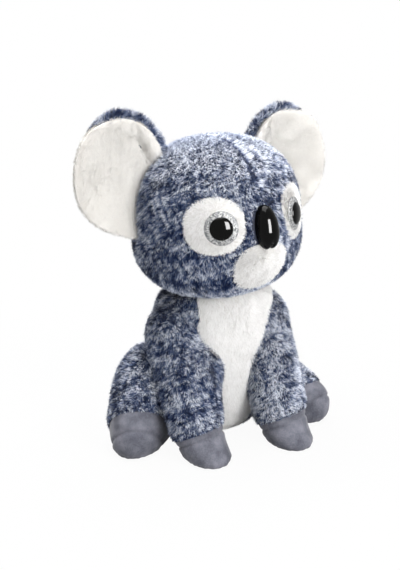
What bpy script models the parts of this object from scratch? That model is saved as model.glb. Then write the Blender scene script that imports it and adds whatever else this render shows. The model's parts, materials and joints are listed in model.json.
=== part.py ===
"""Plush koala, sitting, with a stuffed body, limbs on soft joints and a head that turns and nods.

Every stuffed part is a fabric skin, open at its sewn seams, round a core of fibre stuffing.
The eyes and the nose are plastic, held through the fabric by a shank and a locking washer.
Front is -Y, the toy's left is +X and up is +Z. Lengths are in metres.
"""
import bmesh
import bpy
from math import acos, atan2, cos, exp, pi, radians, sin
from mathutils import Matrix, Vector

# Fabric and fits
skin_thickness = 0.003
stuffing_gap = 0.0006
sewn_gap = 0.0006
pressed_gap = 0.0009
joint_gap = 0.0006
plastic_gap = 0.0004
washer_gap = 0.0003
cut_overrun = 0.012
weld_share = 0.001

# Torso
torso_width = 0.100
torso_depth = 0.088
torso_height = 0.1265
torso_lean = 0.016
torso_back = 0.008
seat_sink = 0.0035
torso_top_up = torso_height - seat_sink

# Chest panel
chest_width = 0.077
chest_bottom_up = 0.009
chest_top_drop = 0.004
chest_top_up = torso_top_up - chest_top_drop

# Neck
neck_radius = 0.024
neck_forward = 0.0185
neck_sink = 0.004
neck_up = torso_top_up - neck_sink

# Head
head_width = 0.137
head_depth = 0.126
head_height = 0.129
head_over_neck = 0.009
head_before_neck = 0.002
head_roundness_power = 2.4
head_turn = radians(7.2)
head_tilt = radians(3.4)

# Muzzle, the low swelling that carries the nose and the chin patch
muzzle_proud = 0.011
muzzle_half_width = 0.027
muzzle_half_height = 0.033
muzzle_drop = 0.008

# Eyes
eye_side_angle = radians(29.4)
eye_up = 0.0062
iris_radius = 0.0134
iris_thickness = 0.0012
iris_seat_gap = 0.0007
pupil_radius = 0.0092
pupil_height = 0.0050
pupil_foot_share = 0.94
pupil_wall_share = 0.5
eye_shank_radius = 0.0024
shank_end = 0.004
eye_washer_radius = 0.0085
washer_thickness = 0.0015
eye_patch_width = 0.047
eye_patch_height = 0.044
eye_patch_offset = radians(5.3)

# Nose
nose_up = 0.005
nose_width = 0.0205
nose_height = 0.035
nose_proud = 0.0115
nose_seat_gap = 0.0012
nose_taper_share = 0.22
nose_side_power = 0.9
nose_front_power = 0.8
nose_shank_radius = 0.003
nose_washer_radius = 0.0085
nose_notch_radius = 0.0022

# Chin patch
chin_drop = 0.0315
chin_width = 0.0445
chin_height = 0.037

# Ears
ear_width = 0.087
ear_height = 0.103
ear_thickness = 0.0115
ear_beside_head = 0.0105
ear_out = head_width / 2 + ear_beside_head
ear_up = 0.0385
ear_back = 0.0205
ear_lift = 0.006
ear_cup = 0.008
ear_rim = 0.0035
ear_edge_power = 0.7
ear_lining_thickness = 0.0045
ear_lining_sink_share = 0.4
ear_hinge_inset = 0.0110
ear_hinge_out = head_width / 2 - ear_hinge_inset
ear_hinge_lean = radians(14.0)
ear_forward_limit = radians(25.0)
ear_back_limit = radians(15.0)

# Arms
shoulder_inset = 0.0085
shoulder_out = torso_width / 2 - shoulder_inset
shoulder_forward = 0.018
shoulder_drop = 0.031
shoulder_up = torso_top_up - shoulder_drop
shoulder_radius = 0.023
shoulder_share = 0.3
arm_width = 0.044
arm_depth = 0.046
paw_out = 0.0395
paw_forward = 0.071
arm_lift_limit = radians(45.0)
cuff_up = 0.023
cuff_slope = radians(-22.0)

# Legs
hip_beside_torso = 0.003
hip_out = torso_width / 2 + hip_beside_torso
hip_back = 0.006
haunch_radius = 0.029
leg_height = 0.080
foot_beside_hip = 0.0275
foot_out = hip_out + foot_beside_hip
foot_forward = 0.024
foot_radius = 0.0245
leg_splay_limit = radians(30.0)
left_haunch_sink_share = 0.45
foot_top_share = 0.3
foot_seam_slope = radians(45.0)
foot_seam_turn = radians(20.0)

# Facets
head_facets = (22, 16)
torso_facets = (20, 14)
limb_facets = (14, 12)
ear_facets = (18, 8)
ball_facets = (16, 10)
plastic_facets = 14
dome_steps = 6
relief_steps = 3
surface_steps = 6

# Heights, forward shifts, half widths and half depths of the torso's rings, from the seat up
torso_ring_shares = (
    (0.00, 0.00, 0.00, 0.00),
    (0.00, 0.02, 0.52, 0.50),
    (0.03, 0.05, 0.72, 0.70),
    (0.12, 0.12, 0.95, 0.90),
    (0.28, 0.25, 1.00, 0.98),
    (0.48, 0.50, 1.02, 1.00),
    (0.68, 0.75, 1.04, 0.97),
    (0.84, 0.92, 1.04, 0.92),
    (0.93, 0.98, 0.98, 0.83),
    (0.985, 1.00, 0.78, 0.64),
    (1.00, 1.00, 0.00, 0.00),
)
# Half width of the chest panel at each height share, from its bottom up
chest_outline_shares = ((0.0, 0.30), (0.12, 0.62), (0.40, 0.90), (0.75, 1.00), (1.0, 0.94))
# Drop from the shoulder, travel towards the paw, half width and half depth of the arm's rings
arm_ring_shares = (
    (0.00, 0.00, 1.045, 1.00),
    (0.15, 0.28, 1.06, 1.00),
    (0.32, 0.54, 1.06, 1.00),
    (0.50, 0.74, 1.04, 1.00),
    (0.67, 0.88, 1.00, 1.00),
    (0.80, 0.96, 0.95, 1.00),
    (0.89, 1.00, 0.87, 1.03),
    (0.96, 1.02, 0.78, 0.96),
    (1.01, 1.00, 0.52, 0.70),
    (1.01, 1.00, 0.00, 0.00),
)
# Height, reach towards the foot, haunch radius and foot radius of the leg's rings
leg_ring_shares = (
    (-0.02, 0.50, 0.00, 0.00),
    (-0.02, 0.90, 0.45, 0.55),
    (0.05, 0.97, 0.68, 0.88),
    (0.16, 1.00, 0.86, 1.03),
    (0.30, 1.00, 0.98, 1.03),
    (0.44, 0.96, 1.03, 0.92),
    (0.58, 0.66, 1.02, 1.00),
    (0.74, 0.40, 0.92, 0.92),
    (0.88, 0.22, 0.68, 0.68),
    (0.97, 0.10, 0.36, 0.36),
    (1.00, 0.05, 0.00, 0.00),
)

# Radii of the rings of the glitter disc
iris_ring_shares = (0.6, 1.0)

# Colours, roughness and metallic value of each material
finishes = {
    "blue_fur": ((0.10, 0.15, 0.28), 0.95, 0.0),
    "white_plush": ((0.86, 0.84, 0.80), 0.9, 0.0),
    "grey_velour": ((0.19, 0.19, 0.23), 0.85, 0.0),
    "fibre_stuffing": ((0.90, 0.90, 0.88), 1.0, 0.0),
    "black_gloss_plastic": ((0.006, 0.006, 0.007), 0.08, 0.0),
    "silver_glitter": ((0.60, 0.61, 0.63), 0.35, 0.7),
    "white_nylon": ((0.80, 0.80, 0.78), 0.5, 0.0),
}


def clear_scene():
    """Removes whatever the new file holds."""
    for item in list(bpy.data.objects):
        bpy.data.objects.remove(item, do_unlink=True)


def new_collection(name):
    group = bpy.data.collections.new(name)
    bpy.context.scene.collection.children.link(group)
    return group


def finish(name):
    """Principled material with the colour, roughness and metallic value of one finish."""
    if name in bpy.data.materials:
        return bpy.data.materials[name]
    colour, roughness, metallic = finishes[name]
    material = bpy.data.materials.new(name)
    material.use_nodes = True
    shader = material.node_tree.nodes["Principled BSDF"]
    shader.inputs["Base Color"].default_value = (*colour, 1.0)
    shader.inputs["Roughness"].default_value = roughness
    shader.inputs["Metallic"].default_value = metallic
    return material


def to_object(name, mesh, group, pivot=None, parent=None):
    """Turns a bmesh in toy coordinates into an object whose origin is the given pivot."""
    bmesh.ops.recalc_face_normals(mesh, faces=mesh.faces)
    origin = Vector(pivot) if pivot is not None else Vector((0, 0, 0))
    bmesh.ops.translate(mesh, verts=mesh.verts, vec=-origin)
    data = bpy.data.meshes.new(name)
    mesh.to_mesh(data)
    mesh.free()
    data.shade_smooth()
    item = bpy.data.objects.new(name, data)
    group.objects.link(item)
    if parent is None:
        item.location = origin
    else:
        item.parent = parent
    return item


def piece(name, mesh, group, material, pivot=None, parent=None):
    item = to_object(name, mesh, group, pivot, parent)
    item.data.materials.append(finish(material))
    return item


def cutter(name, mesh, group, pivot=None, parent=None):
    item = to_object(name, mesh, group, pivot, parent)
    item.hide_render = True
    item.display_type = "WIRE"
    return item


def boolean(item, other, operation="DIFFERENCE", solver="EXACT"):
    change = item.modifiers.new(operation.lower() + "_" + other.name, "BOOLEAN")
    change.operation = operation
    change.solver = solver
    change.object = other


def shell(item):
    """Makes the closed surface a skin by giving it the fabric's thickness, inwards."""
    wall = item.modifiers.new("fabric", "SOLIDIFY")
    wall.thickness = skin_thickness
    wall.offset = -1.0
    wall.use_even_offset = True


def along_rows(rows, place):
    """Row of a table at a place from 0 to 1, on a smooth curve through all its rows."""
    spans = len(rows) - 1
    index = min(int(place * spans), spans - 1)
    part = place * spans - index
    before = rows[max(index - 1, 0)]
    first = rows[index]
    second = rows[index + 1]
    after = rows[min(index + 2, spans)]
    values = []
    for a, b, c, d in zip(before, first, second, after):
        bend = (2 * a - 5 * b + 4 * c - d) * part ** 2 + (3 * b - a - 3 * c + d) * part ** 3
        values.append(0.5 * (2 * b + (c - a) * part + bend))
    return values


def round_body(facets, shape):
    """Unit sphere whose points are moved by shape(place from bottom to top, angle round)."""
    around, along = facets
    mesh = bmesh.new()
    bmesh.ops.create_uvsphere(mesh, u_segments=around, v_segments=along, radius=1)
    for corner in mesh.verts:
        place = 1 - acos(max(-1.0, min(1.0, corner.co.z))) / pi
        corner.co = shape(place, atan2(corner.co.y, corner.co.x))
    bmesh.ops.recalc_face_normals(mesh, faces=mesh.faces)
    return mesh


def shrink(mesh, distance):
    """Moves every face inwards by a distance."""
    mesh.normal_update()
    moves = [(corner, corner.normal * corner.calc_shell_factor()) for corner in mesh.verts]
    for corner, inwards in moves:
        corner.co -= inwards * distance


def press_on_floor(mesh, height=0.0):
    """Flattens what would reach below the floor, as the toy's own weight does."""
    for corner in mesh.verts:
        corner.co.z = max(corner.co.z, height)


def signed_power(value, power):
    return (1 if value >= 0 else -1) * abs(value) ** power


neck_pivot = Vector((0, -neck_forward, neck_up))
head_centre = neck_pivot + Vector((0, -head_before_neck, head_over_neck + head_height / 2))


def with_muzzle(point):
    """The point moved forward by the swelling of the muzzle, if it is on the face."""
    if point.y > head_centre.y:
        return point
    across = (point.x - head_centre.x) / muzzle_half_width
    rise = (point.z - head_centre.z + muzzle_drop) / muzzle_half_height
    point.y -= muzzle_proud * exp(-(across ** 2 + rise ** 2))
    return point


def head_surface(swell=0.0):
    """Rounded box between a ball and a cube, flatter on top than a ball, with its muzzle."""
    power = 2 / head_roundness_power

    def shape(place, angle):
        tilt = pi * (place - 0.5)
        level = signed_power(cos(tilt), power)
        offset = Vector((
            (head_width / 2 + swell) * level * cos(angle),
            (head_depth / 2 + swell) * level * sin(angle),
            (head_height / 2 + swell) * signed_power(sin(tilt), power),
        ))
        return with_muzzle(head_centre + offset)
    return shape


def head_point(side_angle, up):
    """Point of the head's surface at an angle from the front and a height over its centre."""
    rise = abs(up) / (head_height / 2)
    level = (1 - rise ** head_roundness_power) ** (1 / head_roundness_power)
    return with_muzzle(head_centre + Vector((
        head_width / 2 * level * sin(side_angle),
        -head_depth / 2 * level * cos(side_angle),
        up,
    )))


def head_frame(side_angle, up):
    """Matrix at a point of the head, with Z pointing out of the surface and Y upwards."""
    step_angle = radians(0.5)
    step_up = head_height * weld_share
    point = head_point(side_angle, up)
    along = head_point(side_angle + step_angle, up) - head_point(side_angle - step_angle, up)
    rise = head_point(side_angle, up + step_up) - head_point(side_angle, up - step_up)
    out = along.cross(rise).normalized()
    if out.dot(point - head_centre) < 0:
        out = -out
    right = rise.cross(out).normalized()
    axes = Matrix((right, out.cross(right), out)).transposed().to_4x4()
    return Matrix.Translation(point) @ axes


def turned(profile):
    """Solid of revolution round Z through a closed profile of (radius, height) points."""
    mesh = bmesh.new()
    corners = [mesh.verts.new((radius, 0, height)) for radius, height in profile]
    edges = [mesh.edges.new((corners[i - 1], corners[i])) for i in range(len(corners))]
    bmesh.ops.spin(mesh, geom=corners + edges, axis=(0, 0, 1), cent=(0, 0, 0), steps=plastic_facets,
                   angle=2 * pi, use_merge=True)
    bmesh.ops.remove_doubles(mesh, verts=mesh.verts, dist=skin_thickness * weld_share)
    bmesh.ops.recalc_face_normals(mesh, faces=mesh.faces)
    return mesh


def drum(radius, low, high, facets=plastic_facets):
    """Cylinder round Z between two heights."""
    mesh = bmesh.new()
    bmesh.ops.create_cone(mesh, cap_ends=True, segments=facets, radius1=radius, radius2=radius,
                          depth=high - low)
    bmesh.ops.translate(mesh, verts=mesh.verts, vec=(0, 0, (low + high) / 2))
    return mesh


def ball(centre, radius, facets):
    mesh = bmesh.new()
    bmesh.ops.create_uvsphere(mesh, u_segments=facets[0], v_segments=facets[1], radius=radius)
    bmesh.ops.translate(mesh, verts=mesh.verts, vec=centre)
    return mesh


def moved(mesh, matrix):
    bmesh.ops.transform(mesh, matrix=matrix, verts=mesh.verts)
    return mesh


def torso_section(place):
    """Centre and half sizes of the torso's ring at a place from 0 to 1."""
    rise, forward, wide, deep = along_rows(torso_ring_shares, place)
    centre = Vector((0, torso_back - torso_lean * forward, torso_height * rise - seat_sink))
    return centre, torso_width / 2 * wide, torso_depth / 2 * deep


def torso_surface(place, angle):
    centre, half_width, half_depth = torso_section(place)
    return centre + Vector((half_width * cos(angle), half_depth * sin(angle), 0))


def torso_mesh():
    mesh = round_body(torso_facets, torso_surface)
    press_on_floor(mesh)
    return mesh


def trim_to_torso(items, name, pivot, axis, limit, cutters):
    """Cuts limb pieces back to the torso, at rest and on their way to the joint's limit.

    The cuts lie close together, which the exact solver can't follow.
    """
    for step in range(relief_steps + 1):
        swing = Matrix.Rotation(-limit * step / relief_steps, 4, axis)
        place = Matrix.Translation(pivot) @ swing @ Matrix.Translation(-pivot)
        torso = torso_mesh()
        shrink(torso, -pressed_gap)
        relief = cutter("relief_%s_%d" % (name, step), moved(torso, place), cutters, pivot)
        for item in items:
            boolean(item, relief, solver="MANIFOLD")


def make_torso(group, cutters):
    """Body: skin with its openings, chest panel and stuffing."""
    skin = piece("torso_skin", torso_mesh(), group, "blue_fur")
    panel = piece("chest_panel", torso_mesh(), group, "white_plush")
    core = torso_mesh()
    shrink(core, skin_thickness + stuffing_gap)
    stuffing = piece("torso_stuffing", core, group, "fibre_stuffing")
    shell(skin)
    shell(panel)
    socket = cutter("neck_seat", ball(neck_pivot, neck_radius + joint_gap, ball_facets), cutters)
    for item in (skin, panel, stuffing):
        boolean(item, socket)
    boolean(skin, chest_cutter("chest_opening", sewn_gap, cutters))
    boolean(panel, chest_cutter("chest_outline", 0.0, cutters), "INTERSECT")


def chest_cutter(name, gap, cutters):
    """Flat outline of the chest panel, drawn from the front and swept through the torso's front."""
    rows = []
    height = chest_top_up - chest_bottom_up
    for rise, half in chest_outline_shares:
        grow = gap * (1 if rise > 0.5 else -1)
        rows.append((chest_width / 2 * half + gap, chest_bottom_up + height * rise + grow))
    outline = rows + [(-x, z) for x, z in reversed(rows)]
    curve = bpy.data.curves.new(name, "CURVE")
    curve.dimensions = "2D"
    curve.fill_mode = "BOTH"
    spline = curve.splines.new("POLY")
    spline.points.add(len(outline) - 1)
    for point, (x, z) in zip(spline.points, outline):
        point.co = (x, z, 0, 1)
    spline.use_cyclic_u = True
    curve.extrude = torso_depth / 2
    drawn = bpy.data.objects.new(name, curve)
    cutters.objects.link(drawn)
    mesh = bmesh.new()
    data = bpy.data.meshes.new_from_object(drawn.evaluated_get(bpy.context.evaluated_depsgraph_get()))
    mesh.from_mesh(data)
    bpy.data.objects.remove(drawn, do_unlink=True)
    bmesh.ops.remove_doubles(mesh, verts=mesh.verts, dist=skin_thickness * weld_share)
    upright = Matrix.Rotation(radians(90), 4, "X")
    moved(mesh, Matrix.Translation((0, -torso_depth / 2 - skin_thickness, 0)) @ upright)
    return cutter(name, mesh, cutters)


def head_mesh(swell=0.0):
    return round_body(head_facets, head_surface(swell))


def oval_drum(matrix, width, height, reach):
    """Oval prism through the head's skin, along the Z axis of a frame on its surface."""
    mesh = drum(1, -reach, reach, 2 * plastic_facets)
    return moved(mesh, matrix @ Matrix.Diagonal((width / 2, height / 2, 1, 1)))


def make_patch(name, matrix, width, height, skin, group, cutters, pivot, parent):
    """White plush oval sewn into the head's skin, edge to edge with it."""
    patch = piece(name, head_mesh(), group, "white_plush", pivot, parent)
    shell(patch)
    outline = oval_drum(matrix, width, height, cut_overrun)
    boolean(patch, cutter(name + "_outline", outline, cutters, pivot, parent), "INTERSECT")
    wider = oval_drum(matrix, width + 2 * sewn_gap, height + 2 * sewn_gap, cut_overrun)
    boolean(skin, cutter(name + "_opening", wider, cutters, pivot, parent))
    return patch


def surface_depths(side_angle, up, radius):
    """Least and greatest depth of the head's surface below its tangent plane, on a circle round a point."""
    inverse = head_frame(side_angle, up).inverted()
    depths = []
    for step in range(plastic_facets):
        turn = 2 * pi * step / plastic_facets
        angle = side_angle
        rise = up
        for _ in range(surface_steps):
            local = inverse @ head_point(angle, rise)
            angle += (radius * cos(turn) - local.x) / (head_width / 2)
            rise += radius * sin(turn) - local.y
        depths.append(-(inverse @ head_point(angle, rise)).z)
    return min(depths), max(depths)


def washer_depth(side_angle, up, radius):
    """Depth at which a flat washer clears the inside of the head's skin and its flat facets."""
    greatest = surface_depths(side_angle, up, radius + skin_thickness)[1]
    facet_drop = head_width / 2 * (1 - cos(pi / head_facets[0]))
    return skin_thickness + greatest + facet_drop + washer_gap


def make_eye(side, name, skin, stuffing, group, cutters, pivot, parent):
    """Eye: patch, glitter disc, domed pupil with its shank, and locking washer."""
    frame = head_frame(side * eye_side_angle, eye_up)
    patch_frame = head_frame(side * (eye_side_angle + eye_patch_offset), eye_up)
    patch = make_patch("eye_patch_" + name, patch_frame, eye_patch_width, eye_patch_height,
                       skin, group, cutters, pivot, parent)

    def back_of(radius):
        least = surface_depths(side * eye_side_angle, eye_up, radius)[0]
        return iris_seat_gap - least

    rings = [iris_radius * share for share in iris_ring_shares]
    hole = eye_shank_radius + plastic_gap
    profile = [(hole, back_of(hole))] + [(radius, back_of(radius)) for radius in rings]
    profile += [(radius, back_of(radius) + iris_thickness) for radius in reversed(rings)]
    profile += [(hole, back_of(hole) + iris_thickness)]
    piece("eye_iris_" + name, moved(turned(profile), frame), group, "silver_glitter", pivot, parent)

    seat = iris_seat_gap + iris_thickness + plastic_gap
    depth = washer_depth(side * eye_side_angle, eye_up, eye_washer_radius)
    tip = -(depth + washer_thickness + shank_end)
    dome = [(0, tip), (eye_shank_radius, tip), (eye_shank_radius, seat)]
    dome += [(pupil_radius * pupil_foot_share, seat)]
    wall = pupil_height * pupil_wall_share
    for step in range(dome_steps):
        turn = pi / 2 * step / dome_steps
        dome.append((pupil_radius * cos(turn), seat + wall + (pupil_height - wall) * sin(turn)))
    dome += [(0, seat + pupil_height)]
    piece("eye_dome_" + name, moved(turned(dome), frame), group, "black_gloss_plastic", pivot, parent)
    fit_shank(name + "_eye", frame, eye_shank_radius, eye_washer_radius, depth, patch, stuffing,
              "eye_washer_" + name, group, cutters, pivot, parent)


def fit_shank(name, frame, radius, washer_radius, depth, fabric, stuffing, washer_name,
              group, cutters, pivot, parent):
    """Hole through the fabric, locking washer behind it and the hollow they leave in the fibre."""
    hole = drum(radius + plastic_gap, -cut_overrun, cut_overrun)
    bore = cutter(name + "_hole", moved(hole, frame), cutters, pivot, parent)
    boolean(fabric, bore)
    ring = [(radius + plastic_gap, -depth - washer_thickness), (washer_radius, -depth - washer_thickness),
            (washer_radius, -depth), (radius + plastic_gap, -depth)]
    piece(washer_name, moved(turned(ring), frame), group, "white_nylon", pivot, parent)
    hollow_depth = depth + washer_thickness + shank_end + plastic_gap
    hollow = drum(washer_radius + plastic_gap, -hollow_depth, cut_overrun)
    boolean(stuffing, cutter(name + "_hollow", moved(hollow, frame), cutters, pivot, parent))


def make_nose(skin, stuffing, group, cutters, pivot, parent):
    """Tall glossy nose, narrower at its top and notched below, with shank and washer."""
    frame = head_frame(0, nose_up)

    def shape(place, angle):
        tilt = pi * (place - 0.5)
        side = cos(tilt) * cos(angle)
        proud = -cos(tilt) * sin(angle)
        rise = sin(tilt)
        narrowing = 1 - nose_taper_share * (rise + 1) / 2
        return frame @ Vector((
            nose_width / 2 * signed_power(side, nose_side_power) * narrowing,
            nose_height / 2 * rise,
            nose_proud * signed_power(proud, nose_front_power),
        ))

    body = piece("nose", round_body((plastic_facets, plastic_facets), shape), group, "black_gloss_plastic",
                 pivot, parent)
    boolean(body, cutter("nose_seat", head_mesh(nose_seat_gap), cutters, pivot, parent))
    notch = drum(nose_notch_radius, -nose_proud, nose_proud * 2, plastic_facets // 2)
    place = Matrix.Translation((0, -nose_height / 2, 0))
    boolean(body, cutter("nose_notch", moved(notch, frame @ place), cutters, pivot, parent))
    depth = washer_depth(0, nose_up, nose_washer_radius)
    shank = drum(nose_shank_radius, -(depth + washer_thickness + shank_end), nose_proud / 2)
    boolean(body, cutter("nose_shank", moved(shank, frame), cutters, pivot, parent), "UNION")
    fit_shank("nose", frame, nose_shank_radius, nose_washer_radius, depth, skin, stuffing,
              "nose_washer", group, cutters, pivot, parent)


def make_ear(side, name, group, cutters, pivot, parent):
    """Cupped ear: furred back and rim, and a white lining let into its front."""
    lift = -side * ear_lift
    centre = head_centre + Vector((side * ear_out, ear_back, ear_up + lift))

    def form(half_width, half_height, half_thickness, forward):
        def shape(place, angle):
            tilt = pi * (place - 0.5)
            across = cos(tilt) * cos(angle)
            rise = sin(tilt)
            cup = ear_cup * (across ** 2 + rise ** 2)
            return centre + Vector((
                half_width * across,
                half_thickness * signed_power(cos(tilt) * sin(angle), ear_edge_power) - cup - forward,
                half_height * rise,
            ))
        return round_body(ear_facets, shape)

    hinge = head_centre + Vector((side * ear_hinge_out, ear_back - ear_thickness / 4, ear_up + lift))
    axis = Vector((-side * sin(ear_hinge_lean), 0, cos(ear_hinge_lean)))
    flap = bpy.data.objects.new("ear_pivot_" + name, None)
    group.objects.link(flap)
    flap.parent = parent
    flap.location = hinge - Vector(pivot)
    back = piece("ear_back_" + name, form(ear_width / 2, ear_height / 2, ear_thickness / 2, 0),
                 group, "blue_fur", hinge, flap)
    front = ear_thickness / 2 - ear_lining_thickness * ear_lining_sink_share
    lining_size = (ear_width / 2 - ear_rim, ear_height / 2 - ear_rim, ear_lining_thickness / 2)
    lining = piece("ear_lining_" + name, form(*lining_size, front), group, "white_plush", hinge, flap)
    bed_size = (size + sewn_gap for size in lining_size)
    bed = cutter("ear_bed_" + name, form(*bed_size, front), cutters, hinge, flap)
    boolean(back, bed)
    for number, angle in enumerate((0, ear_forward_limit, -ear_back_limit)):
        swing = Matrix.Rotation(side * angle, 4, axis)
        place = Matrix.Translation(hinge) @ swing @ Matrix.Translation(-hinge)
        relief = moved(head_mesh(pressed_gap), place)
        relief_cut = cutter("ear_relief_%s_%d" % (name, number), relief, cutters, hinge, flap)
        boolean(back, relief_cut, solver="MANIFOLD")
        boolean(lining, relief_cut, solver="MANIFOLD")


def make_head(group, cutters):
    """Head on the neck: skin, stuffing, patches, eyes, nose and ears."""
    neck = bpy.data.objects.new("neck_turn_pivot", None)
    group.objects.link(neck)
    neck.location = neck_pivot
    neck.rotation_euler = (0, 0, head_turn)
    nod = bpy.data.objects.new("head_nod_pivot", None)
    group.objects.link(nod)
    nod.parent = neck
    nod.rotation_euler = (0, -head_tilt, 0)
    piece("neck_stuffing", ball(neck_pivot, neck_radius, ball_facets), group, "fibre_stuffing",
          neck_pivot, neck)

    skin = piece("head_skin", head_mesh(), group, "blue_fur", neck_pivot, nod)
    shell(skin)
    core = head_mesh()
    shrink(core, skin_thickness + stuffing_gap)
    stuffing = piece("head_stuffing", core, group, "fibre_stuffing", neck_pivot, nod)
    socket = cutter("neck_socket", ball(neck_pivot, neck_radius + joint_gap, ball_facets), cutters,
                    neck_pivot, nod)
    boolean(skin, socket)
    boolean(stuffing, socket)
    chin_frame = head_frame(0, -chin_drop)
    make_patch("chin_patch", chin_frame, chin_width, chin_height, skin, group, cutters, neck_pivot, nod)
    for side, name in ((-1, "right"), (1, "left")):
        make_eye(side, name, skin, stuffing, group, cutters, neck_pivot, nod)
        make_ear(side, name, group, cutters, neck_pivot, nod)
    make_nose(skin, stuffing, group, cutters, neck_pivot, nod)


def arm_pivot(side):
    return Vector((side * shoulder_out, -shoulder_forward, shoulder_up))


def arm_mesh(side, inset=0.0):
    """Limb that is a ball at the shoulder and widens to a paw flat on the floor."""
    pivot = arm_pivot(side)

    def shape(place, angle):
        down = 1 - place
        if down < shoulder_share:
            tilt = pi / 2 * (down / shoulder_share)
            centre = pivot + Vector((0, 0, shoulder_radius * cos(tilt)))
            half_width = half_depth = shoulder_radius * sin(tilt)
        else:
            along = (down - shoulder_share) / (1 - shoulder_share)
            drop, reach, wide, deep = along_rows(arm_ring_shares, along)
            centre = Vector((
                side * (shoulder_out + (paw_out - shoulder_out) * reach),
                -shoulder_forward - (paw_forward - shoulder_forward) * reach,
                shoulder_up * (1 - drop),
            ))
            half_width = arm_width / 2 * wide
            half_depth = arm_depth / 2 * deep
        return centre + Vector((half_width * cos(angle), half_depth * sin(angle), 0))

    mesh = round_body(limb_facets, shape)
    press_on_floor(mesh)
    if inset:
        shrink(mesh, inset)
    return mesh


def half_space(point, slope, turn, keep_above):
    """Large block whose face passes through a point, sloped forward and turned about Z."""
    size = head_height * 2
    mesh = bmesh.new()
    bmesh.ops.create_cube(mesh, size=size)
    bmesh.ops.translate(mesh, verts=mesh.verts, vec=(0, 0, size / 2 if keep_above else -size / 2))
    place = Matrix.Translation(point) @ Matrix.Rotation(turn, 4, "Z") @ Matrix.Rotation(slope, 4, "X")
    return moved(mesh, place)


def make_arm(side, name, group, cutters):
    """Front limb: furred sleeve, velour paw and stuffing."""
    pivot = arm_pivot(side)
    sleeve = piece("arm_skin_" + name, arm_mesh(side), group, "blue_fur", pivot)
    paw = piece("paw_" + name, arm_mesh(side), group, "grey_velour", pivot)
    stuffing = piece("arm_stuffing_" + name, arm_mesh(side, skin_thickness + stuffing_gap), group,
                     "fibre_stuffing", pivot)
    shell(sleeve)
    shell(paw)
    trim_to_torso((sleeve, stuffing), "arm_" + name, pivot, "X", -arm_lift_limit, cutters)
    cuff = Vector((side * paw_out, -paw_forward, cuff_up))
    below = half_space(cuff + Vector((0, 0, sewn_gap / 2)), cuff_slope, 0, False)
    above = half_space(cuff - Vector((0, 0, sewn_gap / 2)), cuff_slope, 0, True)
    boolean(sleeve, cutter("cuff_below_" + name, below, cutters, pivot))
    boolean(paw, cutter("cuff_above_" + name, above, cutters, pivot))


def leg_pivot(side):
    return Vector((side * hip_out, hip_back, leg_height / 2))


def leg_mesh(side, inset=0.0):
    """Haunch round the hip's upright axis, running out into a foot flat on the floor.

    The left one is stuffed less and has sunk towards its foot.
    """
    hip = Vector((side * hip_out, hip_back, 0))
    foot = Vector((side * foot_out, -foot_forward, 0))
    toward = (foot - hip).normalized()

    def shape(place, angle):
        rise, reach, wide, toe = along_rows(leg_ring_shares, place)
        near_radius = haunch_radius * wide
        is_ring = near_radius > stuffing_gap
        facing = Vector((cos(angle), sin(angle), 0)) if is_ring else Vector()
        far_radius = foot_radius * toe
        run = (foot - hip).length * reach
        share = (1 + facing.dot(toward)) / 2
        radius = near_radius + (far_radius - near_radius) * share
        if side > 0:
            rise -= left_haunch_sink_share * share * max(0.0, rise - foot_top_share)
        return hip + toward * run * share + facing * radius + Vector((0, 0, leg_height * rise))

    mesh = round_body(limb_facets, shape)
    press_on_floor(mesh)
    if inset:
        shrink(mesh, inset)
    return mesh


def make_leg(side, name, group, cutters):
    """Hind limb: furred haunch, velour foot and stuffing."""
    pivot = leg_pivot(side)
    haunch = piece("leg_skin_" + name, leg_mesh(side), group, "blue_fur", pivot)
    foot = piece("foot_" + name, leg_mesh(side), group, "grey_velour", pivot)
    stuffing = piece("leg_stuffing_" + name, leg_mesh(side, skin_thickness + stuffing_gap), group,
                     "fibre_stuffing", pivot)
    shell(haunch)
    shell(foot)
    pieces = (haunch, foot, stuffing)
    trim_to_torso(pieces, "leg_" + name, pivot, "Z", side * leg_splay_limit, cutters)
    turn = side * foot_seam_turn
    seam = Vector((side * foot_out, -foot_forward, foot_radius))
    ease = Vector((0, 0, sewn_gap))
    front = half_space(seam + ease, -foot_seam_slope, turn, False)
    rear = half_space(seam, -foot_seam_slope, turn, True)
    boolean(haunch, cutter("foot_front_" + name, front, cutters, pivot))
    boolean(foot, cutter("foot_rear_" + name, rear, cutters, pivot))


def main():
    clear_scene()
    group = new_collection("plush_koala")
    cutters = new_collection("cutters")
    make_torso(group, cutters)
    make_head(group, cutters)
    for side, name in ((-1, "right"), (1, "left")):
        make_arm(side, name, group, cutters)
        make_leg(side, name, group, cutters)


main()
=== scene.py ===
"""Sitting plush koala: blue-grey fur, white plush, velour paws, glossy eyes and nose.

It is laid out as an add-on and run as a script. Front is -Y, the toy's left is +X, lengths are in
metres. Each stuffed part is a smooth closed form, and its pile is made of separate tapered blades.
"""
import json
from math import acos, atan2, cos, exp, pi, radians, sin

import bmesh
import bpy
import numpy as np
from bpy.props import FloatProperty, FloatVectorProperty, PointerProperty
from mathutils import Matrix, Vector
from mathutils.kdtree import KDTree

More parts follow.
